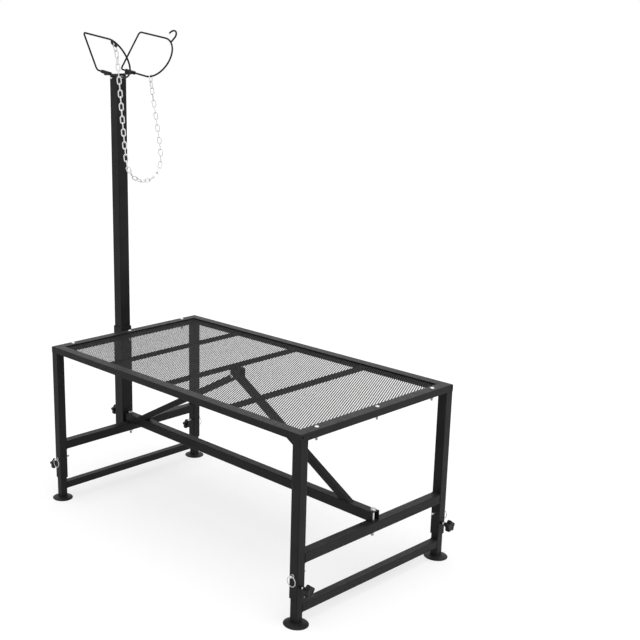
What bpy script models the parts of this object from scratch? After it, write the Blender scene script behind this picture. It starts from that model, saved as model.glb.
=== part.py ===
"""Livestock grooming stand: mesh deck on two end frames, sliding legs, adjustable head post.

Metres, +Z up. The head post stands at the -X end (head), the other end is the rear (+X). Left is -Y,
right is +Y, seen facing the head. The pieces are laid out about the middle of the deck. At the end the
whole stand moves by FRAME_SHIFT along X, which puts the origin on the floor under the middle of the
stand with its knobs.
"""
import math

import bmesh
import bpy
from mathutils import Vector

# Deck
DECK_LENGTH = 1.067
DECK_WIDTH = 0.6144
DECK_TOP = 0.5213
FLANGE = 0.031
DROP = 0.020
LIP = 0.033
ANGLE_WALL = 0.0025
MITRE_GAP = 0.0002
GAP = 0.0003
MESH_LOW = 0.5163
MESH_HIGH = 0.5185
MESH_CELLS_X = 12
MESH_CELLS_Y = 5
STRAND = 0.0036
MESH_RIM = 0.0050
CROSS_X = (-0.2711, -0.0123, 0.2522)
CROSS_WIDTH = 0.0254
CROSS_HEIGHT = 0.0065

# End frames
LEG_X = 0.5195
LEG_Y = 0.2932
OUTER_TUBE = 0.028
INNER_TUBE = 0.023
WALL = 0.0015
OUTER_LOW = 0.0730
OUTER_HIGH = 0.5010
INNER_LOW = 0.0053
INNER_HIGH = 0.4000
LEG_TRAVEL = 0.150
TOP_BAR_WIDTH = 0.0330
TOP_BAR_X = 0.5142
TOP_BAR_LOW = 0.5013
TOP_BAR_HIGH = 0.5160
CROSSBAR_Z = 0.1855
LOWER_BAR_Z = 0.0447
FOOT_RADIUS = 0.0333
FOOT_HEIGHT = 0.0050
KNOB_Z = 0.1085
PIN_Z = 0.1400
PIN_RADIUS = 0.0032
RING_RADIUS = 0.0138
RING_WIRE = 0.0010
RING_OUT = 0.0075

# Middle brace
BAR_TUBE = 0.0292
BAR_Z = 0.2144
BAR_HALF_LENGTH = 0.5285
BRACE_SLOPES = {"head": math.radians(29.8), "rear": math.radians(31.0)}
BRACE_TUBE = 0.0197
BRACE_FOOT = 0.2293
BRACE_APEX = 0.4977
BRACKET_LENGTH = 0.038
BRACKET_LOW = 0.4756
APEX_BOLT = (-0.0085, 0.4836)

# Head piece
POST_X = -0.5558
POST_TUBE = 0.0384
POST_LOW = 0.180
POST_HIGH = 1.3595
SLEEVE_TUBE = 0.0440
SLEEVE_WALL = 0.0021
SLEEVE_LOW = 0.168
SLEEVE_HIGH = 0.532
SLEEVE_KNOB_Z = 0.2195
PLATE_THICK = 0.004
BARREL_Y = 0.0487
BARREL_Z = 1.3684
BARREL_RADIUS = 0.0056
BARREL_BORE = 0.0033
BARREL_LENGTH = 0.045
BARREL_TILT = math.radians(9.8)
LOOP_LEAN = math.radians(28.8)
LOOP_SIZE = 0.134
LOOP_STRAIGHT = 0.1286
LOOP_SHIFT = 0.0487
ROD = 0.0028
SCREW_Z = 1.3523
CHAIN_WIRE = 0.0035
CHAIN_LINKS = 43
CHAIN_OVERLAP = 0.0008
LINK_RADIUS = 0.00575

FRAME_SHIFT = 0.02215

X = Vector((1, 0, 0))
Y = Vector((0, 1, 0))
Z = Vector((0, 0, 1))
ORIGIN = Vector((0, 0, 0))

for old in list(bpy.data.objects):
    bpy.data.objects.remove(old, do_unlink=True)


def look(name, colour, roughness, metallic):
    """A plain material with the part's colour, roughness and metallic value."""
    made = bpy.data.materials.new(name)
    made.use_nodes = True
    shader = made.node_tree.nodes["Principled BSDF"]
    shader.inputs["Base Color"].default_value = (*colour, 1.0)
    shader.inputs["Roughness"].default_value = roughness
    shader.inputs["Metallic"].default_value = metallic
    made.diffuse_color = (*colour, 1.0)
    return made


BLACK = ((0.020, 0.020, 0.021), 0.42, 0.0)
PLASTIC = ((0.012, 0.012, 0.012), 0.38, 0.0)
ZINC = ((0.62, 0.62, 0.60), 0.34, 1.0)


def body(name, shape, finish, origin=ORIGIN):
    """One object from vertices and faces, its own material, its origin at the given point."""
    verts, faces = shape
    mesh = bpy.data.meshes.new(name)
    mesh.from_pydata([Vector(p) - origin for p in verts], [], faces)
    tidy = bmesh.new()
    tidy.from_mesh(mesh)
    bmesh.ops.recalc_face_normals(tidy, faces=tidy.faces)
    tidy.to_mesh(mesh)
    tidy.free()
    mesh.materials.append(look(name, *finish))
    made = bpy.data.objects.new(name, mesh)
    made.location = origin
    bpy.context.scene.collection.objects.link(made)
    finish_mesh(mesh)
    return made


def finish_mesh(mesh):
    """Smooth round surfaces, sharp edges."""
    mesh.shade_smooth()
    mesh.set_sharp_from_angle(angle=math.radians(36))


def machine(made, steps):
    """Unite or cut an object with other closed shapes."""
    helpers = []
    for operation, shape in steps:
        helper = body("helper", shape, BLACK)
        helper.hide_render = True
        helper.display_type = "WIRE"
        step = made.modifiers.new(operation.lower(), "BOOLEAN")
        step.operation = operation
        step.solver = "EXACT"
        step.object = helper
        helpers.append(helper)
    bpy.context.view_layer.update()
    graph = bpy.context.evaluated_depsgraph_get()
    done = bpy.data.meshes.new_from_object(made.evaluated_get(graph))
    made.modifiers.clear()
    made.data = done
    for helper in helpers:
        bpy.data.objects.remove(helper, do_unlink=True)
    while len(done.materials) > 1:
        done.materials.pop()
    for face in done.polygons:
        face.material_index = 0
    finish_mesh(done)
    return made


def frame(origin, u_axis, v_axis, w_axis):
    """Maps local u, v, w to the part's own frame."""
    def place(u, v, w):
        return origin + u_axis * u + v_axis * v + w_axis * w
    return place


def along_x(y, z):
    return frame(Vector((0, y, z)), Y, Z, X)


def along_y(x, z):
    return frame(Vector((x, 0, z)), Z, X, Y)


def along_z(x, y):
    return frame(Vector((x, y, 0)), X, Y, Z)


def rectangle(width, height, radius, cuts=1):
    """Rounded rectangle about the origin, as a list of points."""
    points = []
    for quarter in range(4):
        side_u = 1 if quarter in (0, 3) else -1
        side_v = 1 if quarter in (0, 1) else -1
        for step in range(cuts + 1):
            angle = math.radians(90 * (quarter + step / cuts))
            points.append((side_u * (width / 2 - radius) + radius * math.cos(angle),
                           side_v * (height / 2 - radius) + radius * math.sin(angle)))
    return points


def height_at(end, u, v):
    return end(u, v) if callable(end) else end


def solid(profile, place, low, high):
    """Solid prism over a profile."""
    count = len(profile)
    verts = [place(u, v, height_at(low, u, v)) for u, v in profile]
    verts += [place(u, v, height_at(high, u, v)) for u, v in profile]
    faces = [tuple(range(count))[::-1], tuple(range(count, 2 * count))]
    for i in range(count):
        j = (i + 1) % count
        faces.append((i, j, count + j, count + i))
    return verts, faces


def hollow(outer, inner, place, low, high):
    """Tube with open ends over an outer and an inner profile with equal point counts."""
    count = len(outer)
    verts = []
    for loop in (outer, inner):
        for end in (low, high):
            verts += [place(u, v, height_at(end, u, v)) for u, v in loop]
    faces = []
    for i in range(count):
        j = (i + 1) % count
        faces.append((i, j, count + j, count + i))
        faces.append((2 * count + j, 2 * count + i, 3 * count + i, 3 * count + j))
        faces.append((j, i, 2 * count + i, 2 * count + j))
        faces.append((count + i, count + j, 3 * count + j, 3 * count + i))
    return verts, faces


def square_tube(size, wall, place, low, high, cuts=1, radius=0.0022):
    outer = rectangle(size, size, radius, cuts)
    inner = rectangle(size - 2 * wall, size - 2 * wall, max(radius - wall, 0.0006), cuts)
    return hollow(outer, inner, place, low, high)


def box(low, high):
    profile = [(low[0], low[1]), (high[0], low[1]), (high[0], high[1]), (low[0], high[1])]
    return solid(profile, along_z(0, 0), low[2], high[2])


def circle(radius, sides):
    return [(radius * math.cos(math.tau * i / sides), radius * math.sin(math.tau * i / sides))
            for i in range(sides)]


def drill(place, low, high, radius, sides=12):
    return solid(circle(radius, sides), place, low, high)


def hexagon(radius, sides):
    """Radii of a hexagon with its corners at radius, for a ring of 12 points."""
    return [radius if i % 2 == 0 else radius * math.cos(math.radians(30)) for i in range(sides)]


def turned(rings, place, sides=12):
    """Lathe-like body: each ring is a height and a radius, or a height and a list of radii."""
    verts = []
    for height, radii in rings:
        if not isinstance(radii, list):
            radii = [radii] * sides
        for i in range(sides):
            angle = math.tau * i / sides
            verts.append(place(radii[i] * math.cos(angle), radii[i] * math.sin(angle), height))
    faces = [tuple(range(sides))[::-1]]
    for ring in range(len(rings) - 1):
        base = ring * sides
        for i in range(sides):
            j = (i + 1) % sides
            faces.append((base + i, base + j, base + sides + j, base + sides + i))
    faces.append(tuple(range((len(rings) - 1) * sides, len(rings) * sides)))
    return verts, faces


def swept(path, normal, radius, sides, closed):
    """Round rod along a planar path; one corner of its section points to the path's left."""
    count = len(path)
    verts = []
    for i, point in enumerate(path):
        if closed:
            before = path[i - 1]
            after = path[(i + 1) % count]
        else:
            before = path[max(i - 1, 0)]
            after = path[min(i + 1, count - 1)]
        first = (point - before).normalized() if point != before else (after - point).normalized()
        second = (after - point).normalized() if after != point else first
        tangent = (first + second).normalized()
        stretch = 1 / max(tangent.dot(first), 0.5)
        left = normal.cross(tangent).normalized()
        for k in range(sides):
            angle = math.tau * k / sides
            verts.append(point + left * (radius * math.cos(angle) * stretch)
                         + normal * (radius * math.sin(angle)))
    faces = []
    spans = count if closed else count - 1
    for i in range(spans):
        base = i * sides
        following = ((i + 1) % count) * sides
        for k in range(sides):
            m = (k + 1) % sides
            faces.append((base + k, base + m, following + m, following + k))
    if not closed:
        faces.append(tuple(range(sides))[::-1])
        faces.append(tuple(range((count - 1) * sides, count * sides)))
    return verts, faces


def joined(shapes):
    """Several closed shapes as one list of vertices and faces."""
    verts = []
    faces = []
    for more_verts, more_faces in shapes:
        base = len(verts)
        verts += list(more_verts)
        faces += [tuple(base + i for i in face) for face in more_faces]
    return verts, faces


# Deck rails: angle iron, flange on top, mitred corners.

def rail(name, length, along, outward, offset, holes, lip=False):
    """A rolled rail: it runs along one axis, its drop faces outward. A lip turns up under the mesh."""
    low = DECK_TOP - DROP
    profile = [(0, low), (0, DECK_TOP - 0.0012), (0.0012, DECK_TOP), (FLANGE, DECK_TOP),
               (FLANGE, DECK_TOP - ANGLE_WALL), (ANGLE_WALL, DECK_TOP - ANGLE_WALL)]
    if lip:
        profile += [(ANGLE_WALL, low + ANGLE_WALL), (LIP - ANGLE_WALL, low + ANGLE_WALL),
                    (LIP - ANGLE_WALL, MESH_LOW - GAP), (LIP, MESH_LOW - GAP), (LIP, low)]
    else:
        profile.append((ANGLE_WALL, low))
    place = frame(outward * offset, -outward, Z, along)
    made = solid(profile, place,
                 lambda u, v: -(length / 2 - u - MITRE_GAP), lambda u, v: length / 2 - u - MITRE_GAP)
    return machine(body(name, made, BLACK), [("DIFFERENCE", hole) for hole in holes])


def rail_hole(x_or_y, outward, offset, height=DECK_TOP - 0.0105, radius=0.0016):
    """Small hole through a rail's drop."""
    along = Vector((abs(outward.y), abs(outward.x), 0))
    place = frame(along * x_or_y + outward * offset + Z * height, along, Z, outward)
    return drill(place, -0.006, 0.002, radius, 8)


HALF_L = DECK_LENGTH / 2
HALF_W = DECK_WIDTH / 2
INSIDE_LIPS = HALF_W - LIP - GAP
BOLT_Y = (-0.2335, 0.0, 0.2335)
BOLT_X = 0.5180

for side, sign in (("left", -1), ("right", 1)):
    rail("rail_" + side, DECK_LENGTH, X, Y * sign, HALF_W,
         [rail_hole(-0.250, Y * sign, HALF_W), rail_hole(0.250, Y * sign, HALF_W)], lip=True)
for end, sign in (("head", -1), ("rear", 1)):
    holes = [drill(along_z(sign * BOLT_X, y), 0.48, 0.53, 0.0036) for y in BOLT_Y]
    holes += [rail_hole(y, X * sign, HALF_L, DECK_TOP - 0.0082, 0.0028) for y in (-0.3000, 0.3000)]
    rail("rail_" + end, DECK_WIDTH, Y, X * sign, HALF_L, holes)


# Expanded-metal sheet: diamonds on a staggered grid, one flat plate.

def inset(points, edges_in):
    """Corners of a convex polygon moved inwards by one distance for each edge."""
    count = len(points)
    lines = []
    for i in range(count):
        start = Vector(points[i])
        direction = (Vector(points[(i + 1) % count]) - start).normalized()
        inward = Vector((-direction.y, direction.x))
        lines.append((start + inward * edges_in[i], direction))
    corners = []
    for i in range(count):
        a, da = lines[i - 1]
        b, db = lines[i]
        cross = da.x * db.y - da.y * db.x
        reach = ((b.x - a.x) * db.y - (b.y - a.y) * db.x) / cross
        corners.append(a + da * reach)
    return corners


def expanded_sheet(half_x, half_y, cells_x, cells_y, low, high):
    step_x = 2 * half_x / cells_x
    step_y = 2 * half_y / cells_y
    index = {}
    verts = []
    faces = []

    def vertex(x, y, z):
        key = (round(x, 7), round(y, 7), z)
        if key not in index:
            index[key] = len(verts)
            verts.append(Vector((x, y, z)))
        return index[key]

    def on_edge(a, b):
        same_x = abs(a[0] - b[0]) < 1e-6 and abs(abs(a[0]) - half_x) < 1e-6
        same_y = abs(a[1] - b[1]) < 1e-6 and abs(abs(a[1]) - half_y) < 1e-6
        return same_x or same_y

    def tile(points):
        count = len(points)
        border = [on_edge(points[i], points[(i + 1) % count]) for i in range(count)]
        hole = inset(points, [MESH_RIM if edge else STRAND / 2 for edge in border])
        for i in range(count):
            j = (i + 1) % count
            top = [vertex(*points[i], high), vertex(*points[j], high),
                   vertex(hole[j].x, hole[j].y, high), vertex(hole[i].x, hole[i].y, high)]
            under = [vertex(*points[i], low), vertex(*points[j], low),
                     vertex(hole[j].x, hole[j].y, low), vertex(hole[i].x, hole[i].y, low)]
            faces.append(tuple(top))
            faces.append(tuple(reversed(under)))
            faces.append((top[3], top[2], under[2], under[3]))
            if border[i]:
                faces.append((top[1], top[0], under[0], under[1]))

    def clipped(cx, cy):
        """The diamond about a centre, cut at the sheet's edges."""
        corners = [(cx + step_x / 2, cy), (cx, cy + step_y / 2), (cx - step_x / 2, cy), (cx, cy - step_y / 2)]
        kept = []
        for corner in corners:
            if abs(corner[0]) < half_x + 1e-6 and abs(corner[1]) < half_y + 1e-6:
                kept.append(corner)
            elif (cx, cy) not in kept:
                kept.append((cx, cy))
        if len(kept) == 4:
            kept = [corner for corner in kept if corner != (cx, cy)]
        return kept

    for i in range(cells_x + 1):
        for j in range(cells_y + 1):
            tile(clipped(-half_x + i * step_x, -half_y + j * step_y))
    for i in range(cells_x):
        for j in range(cells_y):
            tile(clipped(-half_x + (i + 0.5) * step_x, -half_y + (j + 0.5) * step_y))
    return verts, faces


SHEET_X = LEG_X - 0.0138
SHEET_Y = HALF_W - ANGLE_WALL - GAP
body("deck_mesh", expanded_sheet(SHEET_X, SHEET_Y, MESH_CELLS_X, MESH_CELLS_Y, MESH_LOW, MESH_HIGH), BLACK)

CROSS_TOP = MESH_LOW - GAP
for place_name, x in zip(("head", "mid", "rear"), CROSS_X):
    body("cross_member_" + place_name,
         solid(rectangle(CROSS_HEIGHT, CROSS_WIDTH, 0.0008), along_y(x, CROSS_TOP - CROSS_HEIGHT / 2),
               -INSIDE_LIPS, INSIDE_LIPS), BLACK)


# End frames.

def lever_knob(name, base, outward, tip):
    """Five-lobed clamping knob on a threaded stud; its axis is the stud."""
    sides = 20

    def star(radius, depth):
        return [radius * (1 - depth + depth * math.cos(5 * math.tau * i / sides)) for i in range(sides)]

    lateral = Y if abs(outward.x) > 0.5 else X
    place = frame(base, Z, outward.cross(Z) if lateral == Y else X, outward)
    rings = [(tip, 0.0028), (0.0095, 0.0028), (0.0096, 0.0058), (0.0180, 0.0066), (0.0195, star(0.0153, 0.13)),
             (0.0215, star(0.0175, 0.17)), (0.0310, star(0.0175, 0.17)), (0.0335, star(0.0146, 0.13))]
    return body(name, turned(rings, place, sides), PLASTIC, base)


PIN_HOLE = PIN_RADIUS + 0.0004
for end, sx in (("head", -1), ("rear", 1)):
    x = sx * LEG_X
    outer = rectangle(TOP_BAR_HIGH - TOP_BAR_LOW, TOP_BAR_WIDTH, 0.0018)
    inner = rectangle(TOP_BAR_HIGH - TOP_BAR_LOW - 2 * WALL, TOP_BAR_WIDTH - 2 * WALL, 0.0006)
    corner = HALF_W - HALF_L + TOP_BAR_X - 2 * MITRE_GAP
    bar = hollow(outer, inner, along_y(sx * TOP_BAR_X, (TOP_BAR_HIGH + TOP_BAR_LOW) / 2),
                 lambda u, v: -corner - sx * v, lambda u, v: corner + sx * v)
    machine(body("top_bar_" + end, bar, BLACK),
            [("DIFFERENCE", drill(along_z(sx * BOLT_X, y), 0.48, 0.53, 0.0036)) for y in BOLT_Y])

    inside = LEG_Y - OUTER_TUBE / 2 - GAP
    crossbar = square_tube(OUTER_TUBE, WALL, along_y(x, CROSSBAR_Z), -inside, inside)
    machine(body("crossbar_" + end, crossbar, BLACK),
            [("DIFFERENCE", drill(along_z(x, 0), 0.16, 0.21, 0.0043))])

    inside = LEG_Y - INNER_TUBE / 2 - GAP
    body("lower_bar_" + end, square_tube(INNER_TUBE, WALL, along_y(x, LOWER_BAR_Z), -inside, inside), BLACK,
         Vector((x, 0, LOWER_BAR_Z)))

    for side, sy in (("left", -1), ("right", 1)):
        y = sy * LEG_Y
        where = end + "_" + side
        face_x = x + sx * OUTER_TUBE / 2
        face_y = y + sy * OUTER_TUBE / 2
        foot_point = Vector((x, y, 0))

        outer_leg = square_tube(OUTER_TUBE, WALL, along_z(x, y), OUTER_LOW, OUTER_HIGH)
        pin_bore = drill(frame(Vector((x, y, PIN_Z)), Z, X, Y), -0.02, 0.02, PIN_HOLE)
        stud_bore = drill(frame(Vector((x, y, KNOB_Z)), Y, Z, X * sx), 0.010, 0.02, 0.0032)
        machine(body("outer_leg_" + where, outer_leg, BLACK),
                [("DIFFERENCE", pin_bore), ("DIFFERENCE", stud_bore)])

        inner_leg = square_tube(INNER_TUBE, WALL, along_z(x, y), INNER_LOW, INNER_HIGH, radius=0.0018)
        slot_half = PIN_RADIUS + 0.0005
        slot = solid([(x - slot_half, PIN_Z - slot_half), (x + slot_half, PIN_Z - slot_half),
                      (x + slot_half, PIN_Z + LEG_TRAVEL + slot_half),
                      (x - slot_half, PIN_Z + LEG_TRAVEL + slot_half)],
                     frame(ORIGIN, X, Z, Y), y - 0.02, y + 0.02)
        machine(body("inner_leg_" + where, inner_leg, BLACK, foot_point), [("DIFFERENCE", slot)])

        foot = [(0.0, FOOT_RADIUS), (0.0014, FOOT_RADIUS), (0.0036, 0.0280), (FOOT_HEIGHT, 0.0175)]
        body("foot_" + where, turned(foot, along_z(x, y), 24), BLACK, foot_point)

        lever_knob("leg_knob_" + where, Vector((face_x, y, KNOB_Z)), X * sx, -0.0022)

        pin_place = frame(Vector((x, face_y, PIN_Z)), Z, X * sy, Y * sy)
        pin = [(-0.0445, 0.0016), (-0.0425, PIN_RADIUS), (GAP, PIN_RADIUS), (GAP, 0.0050), (0.0030, 0.0050),
               (0.0030, 0.0040), (0.0105, 0.0040), (0.0118, 0.0028)]
        ring_hole = drill(frame(Vector((x, face_y + sy * RING_OUT, PIN_Z)), Y, Z, X), -0.01, 0.01, 0.0019)
        machine(body("lock_pin_" + where, turned(pin, pin_place), ZINC, Vector((x, face_y, PIN_Z))),
                [("DIFFERENCE", ring_hole)])

        hang = Vector((x, face_y + sy * RING_OUT, PIN_Z + 0.0004))
        middle = hang - Z * RING_RADIUS
        path = [middle + (Z * math.cos(math.tau * (i + 0.5) / 16) + X * math.sin(math.tau * (i + 0.5) / 16))
                * RING_RADIUS for i in range(16)]
        body("pull_ring_" + where, swept(path, Y, RING_WIRE, 5, True), ZINC,
             Vector((x, face_y + sy * RING_OUT, PIN_Z)))

    for y, side in zip(BOLT_Y, ("left", "mid", "right")):
        bolt = [(0.4865, 0.0022), (0.4878, 0.0031), (0.4950, 0.0031), (0.4950, hexagon(0.0062, 12)),
                (OUTER_HIGH, hexagon(0.0062, 12)), (OUTER_HIGH, 0.0031), (DECK_TOP + GAP, 0.0031)]
        bolt += [(DECK_TOP + rise, radius) for rise, radius in
                 ((GAP, 0.0062), (0.0018, 0.0059), (0.0036, 0.0044), (0.0043, 0.0020))]
        body("deck_bolt_" + end + "_" + side, turned(bolt, along_z(sx * BOLT_X, y)), ZINC)


# Middle brace.
machine(body("centre_bar", square_tube(BAR_TUBE, WALL, along_x(0, BAR_Z), -BAR_HALF_LENGTH, BAR_HALF_LENGTH),
             BLACK),
        [("DIFFERENCE", drill(along_z(sx * LEG_X, 0), 0.19, 0.24, 0.0043)) for sx in (-1, 1)])

for end, sx in (("head", -1), ("rear", 1)):
    bar_bolt = [(0.1560, 0.0030), (0.1575, 0.0039), (0.1652, 0.0039), (0.1652, hexagon(0.0075, 12)),
                (0.1712, hexagon(0.0075, 12)), (0.1712, 0.0039), (BRACE_FOOT, 0.0039)]
    bar_bolt += [(BRACE_FOOT, hexagon(0.0075, 12)), (BRACE_FOOT + 0.0050, hexagon(0.0075, 12)),
                 (BRACE_FOOT + 0.0064, 0.0055)]
    body("bar_bolt_" + end, turned(bar_bolt, along_z(sx * LEG_X, 0)), ZINC)

    slope = BRACE_SLOPES[end]
    up = Vector((-sx * math.cos(slope), 0, math.sin(slope)))
    across = Vector((sx * math.sin(slope), 0, math.cos(slope)))
    middle = Vector((0, 0, BRACE_APEX - BRACE_TUBE / 2 / math.cos(slope)))
    place = frame(middle, Y, across, up)

    def foot_end(u, v):
        return (BRACE_FOOT - place(u, v, 0).z) / up.z

    def apex_end(u, v):
        return (sx * GAP / 2 - place(u, v, 0).x) / up.x

    brace = square_tube(BRACE_TUBE, WALL, place, foot_end, apex_end, radius=0.0018)
    brace_body = body("brace_" + end, brace, BLACK)
    if sx < 0:
        bore = drill(along_y(APEX_BOLT[0], APEX_BOLT[1]), -0.02, 0.02, 0.0034)
        machine(brace_body, [("DIFFERENCE", bore)])

BRACKET_TOP = CROSS_TOP - CROSS_HEIGHT - GAP
BRACKET_IN = BRACE_TUBE / 2 + GAP
BRACKET_OUT = BRACKET_IN + 0.0025
BRACKET_WEB = BRACKET_TOP - 0.0025
bracket_profile = [(-BRACKET_OUT, BRACKET_LOW), (-BRACKET_OUT, BRACKET_TOP), (BRACKET_OUT, BRACKET_TOP),
                   (BRACKET_OUT, BRACKET_LOW), (BRACKET_IN, BRACKET_LOW), (BRACKET_IN, BRACKET_WEB),
                   (-BRACKET_IN, BRACKET_WEB), (-BRACKET_IN, BRACKET_LOW)]
bracket = solid(bracket_profile, frame(ORIGIN, Y, Z, X), -BRACKET_LENGTH / 2, BRACKET_LENGTH / 2)
machine(body("apex_bracket", bracket, BLACK),
        [("DIFFERENCE", drill(along_y(APEX_BOLT[0], APEX_BOLT[1]), -0.02, 0.02, 0.0034))])
EDGE = BRACKET_OUT + GAP
apex_bolt = [(-EDGE - 0.0042, hexagon(0.0052, 12)), (-EDGE, hexagon(0.0060, 12)), (-EDGE, 0.0029),
             (EDGE, 0.0029), (EDGE, hexagon(0.0060, 12)), (EDGE + 0.0048, hexagon(0.0060, 12)),
             (EDGE + 0.0048, 0.0029), (EDGE + 0.0090, 0.0029), (EDGE + 0.0100, 0.0022)]
body("apex_bolt", turned(apex_bolt, along_y(APEX_BOLT[0], APEX_BOLT[1])), ZINC)


# Head post and its sleeve.
machine(body("post_sleeve", square_tube(SLEEVE_TUBE, SLEEVE_WALL, along_z(POST_X, 0), SLEEVE_LOW, SLEEVE_HIGH, 2,
                                        0.0030), BLACK),
        [("DIFFERENCE", drill(frame(Vector((POST_X, 0, SLEEVE_KNOB_Z)), Y, Z, -X), 0.016, 0.03, 0.0032))])
lever_knob("post_knob", Vector((POST_X - SLEEVE_TUBE / 2, 0, SLEEVE_KNOB_Z)), -X, -0.0025)

POST_FOOT = Vector((POST_X, 0, POST_LOW))
front_screw = frame(Vector((POST_X, 0, SCREW_Z)), Y, Z, X)
side_screw = frame(Vector((POST_X - 0.0100, 0, SCREW_Z)), Z, X, -Y)
machine(body("head_post", square_tube(POST_TUBE, WALL, along_z(POST_X, 0), POST_LOW, POST_HIGH, 2, 0.0028), BLACK,
             POST_FOOT),
        [("DIFFERENCE", drill(front_screw, 0.010, 0.03, 0.0029)),
         ("DIFFERENCE", drill(side_screw, 0.010, 0.03, 0.0029))])

HINGE = Vector((math.cos(BARREL_TILT), 0, -math.sin(BARREL_TILT)))
HINGE_UP = Vector((math.sin(BARREL_TILT), 0, math.cos(BARREL_TILT)))
PLATE_LOW = POST_HIGH + GAP
PLATE_HIGH = PLATE_LOW + PLATE_THICK
plate = solid(rectangle(0.032, 0.086, 0.003), along_z(POST_X, 0), PLATE_LOW, PLATE_HIGH)
plug = solid(rectangle(POST_TUBE - 2 * WALL - 0.0008, POST_TUBE - 2 * WALL - 0.0008, 0.0020),
             along_z(POST_X, 0), POST_HIGH - 0.020, PLATE_LOW + 0.001)
head_steps = [("UNION", plug)]
head_bores = []
for sy in (-1, 1):
    centre = Vector((POST_X + 0.002, sy * BARREL_Y, BARREL_Z))
    barrel = frame(centre, Y, HINGE_UP, HINGE)
    reach = 0.0150

    def rib_height(dx):
        return BARREL_Z - (dx - 0.002) * math.tan(BARREL_TILT)

    rib = [(POST_X - reach, PLATE_LOW + 0.001), (POST_X + reach, PLATE_LOW + 0.001),
           (POST_X + reach, rib_height(reach)), (POST_X - reach, rib_height(-reach))]
    inner_y = 0.0395
    outer_y = BARREL_Y - 0.0038
    low_y = inner_y if sy > 0 else -outer_y
    high_y = outer_y if sy > 0 else -inner_y
    head_steps.append(("UNION", solid(rib, frame(ORIGIN, X, Z, Y), low_y, high_y)))
    head_steps.append(("UNION", drill(barrel, -BARREL_LENGTH / 2, BARREL_LENGTH / 2, BARREL_RADIUS, 16)))
    head_bores.append(("DIFFERENCE", drill(barrel, -BARREL_LENGTH, BARREL_LENGTH, BARREL_BORE, 16)))
head_bores.append(("DIFFERENCE", drill(front_screw, 0.006, 0.03, 0.0029)))
head_bores.append(("DIFFERENCE", drill(side_screw, 0.006, 0.03, 0.0029)))
machine(body("head_plate", plate, BLACK, Vector((POST_X, 0, POST_HIGH))), head_steps + head_bores)

SEAT_OUT = POST_TUBE / 2 + GAP
screw = [(0.0075, 0.0024), (SEAT_OUT, 0.0024), (SEAT_OUT, 0.0048), (SEAT_OUT + 0.0018, 0.0044),
         (SEAT_OUT + 0.0034, 0.0026)]
body("plate_screw_front", turned(screw, front_screw), ZINC)
body("plate_screw_side", turned(screw, side_screw), ZINC)


# Nose loops: planar D-shaped rods that lean outwards and turn in the barrels.

def loop_axes(sy):
    centre = Vector((POST_X + 0.002, sy * BARREL_Y, BARREL_Z))
    rise = HINGE_UP * math.cos(LOOP_LEAN) + Y * (sy * math.sin(LOOP_LEAN))
    return centre, rise, HINGE.cross(rise).normalized()


def loop_point(sy, u, v):
    centre, rise, _ = loop_axes(sy)
    return centre + HINGE * (u - LOOP_SHIFT) + rise * v


def arc(cu, cv, radius, start, stop, steps):
    return [(cu + radius * math.cos(math.radians(start + (stop - start) * i / steps)),
             cv + radius * math.sin(math.radians(start + (stop - start) * i / steps)))
            for i in range(steps + 1)]


BEND = 0.0093
R = LOOP_SIZE / 2
outline = arc(BEND, BEND, BEND, 180, 270, 3)
outline += arc(LOOP_STRAIGHT, R, R, -90, 90, 12)
outline += arc(BEND, LOOP_SIZE - BEND, BEND, 90, 180, 3)

EYE_ANGLE = math.radians(68.6)
EYE_RADIUS = 0.0570
EYE_HOLE = 0.0048
for side, sy in (("left", -1), ("right", 1)):
    centre, rise, normal = loop_axes(sy)
    ring = swept([loop_point(sy, u, v) for u, v in outline], normal, ROD, 8, True)
    made = body("nose_loop_" + side, ring, BLACK, centre)
    if side == "left":
        radial = HINGE * math.cos(EYE_ANGLE) + rise * math.sin(EYE_ANGLE)
        tangent = normal.cross(radial)
        eye = loop_point(sy, LOOP_STRAIGHT, R) + radial * EYE_RADIUS
        tab_place = frame(eye, tangent, radial, normal)
        half_long = 0.0140
        half_wide = 0.0080
        tab = []
        for i in range(8):
            angle = math.pi * i / 7 - math.pi / 2
            tab.append((half_long - half_wide + half_wide * math.cos(angle), half_wide * math.sin(angle)))
        tab += [(-u, -v) for u, v in tab]
        machine(made, [("UNION", solid(tab, tab_place, -0.0015, 0.0015)),
                       ("DIFFERENCE", drill(tab_place, -0.004, 0.004, EYE_HOLE, 14))])
    else:
        hook = [(0.1613, 0.1224), (0.1661, 0.1340)] + arc(0.1529, 0.1467, 0.0169, -8, 165, 8)
        machine(made, [("UNION", swept([loop_point(sy, u, v) for u, v in hook], normal, ROD, 8, False))])


# Chain: real links from the eye of the left loop to the foot of the right loop's bow.

def bezier(a, b, c, d, t):
    s = 1 - t
    return a * (s ** 3) + b * (3 * s * s * t) + c * (3 * s * t * t) + d * (t ** 3)


HALF_WIRE = CHAIN_WIRE / 2
SEAT = HALF_WIRE - CHAIN_OVERLAP / 2
ROD_ANGLE = math.radians(18)
chain_rod = loop_point(1, LOOP_STRAIGHT + R * math.sin(ROD_ANGLE), R * (1 - math.cos(ROD_ANGLE)))
eye_point = loop_point(-1, LOOP_STRAIGHT + EYE_RADIUS * math.cos(EYE_ANGLE), R + EYE_RADIUS * math.sin(EYE_ANGLE))
eye_down = -loop_axes(-1)[1]
chain_start = eye_point + eye_down * (0.0016 + SEAT)
chain_end = chain_rod + Z * (ROD + 0.0005 + HALF_WIRE - SEAT)
span = Vector((chain_end.x - chain_start.x, chain_end.y - chain_start.y, 0))
sideways = span.normalized()
DEPTH = 0.4245


def in_plane(h, drop):
    return chain_start + sideways * h - Z * drop


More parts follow.
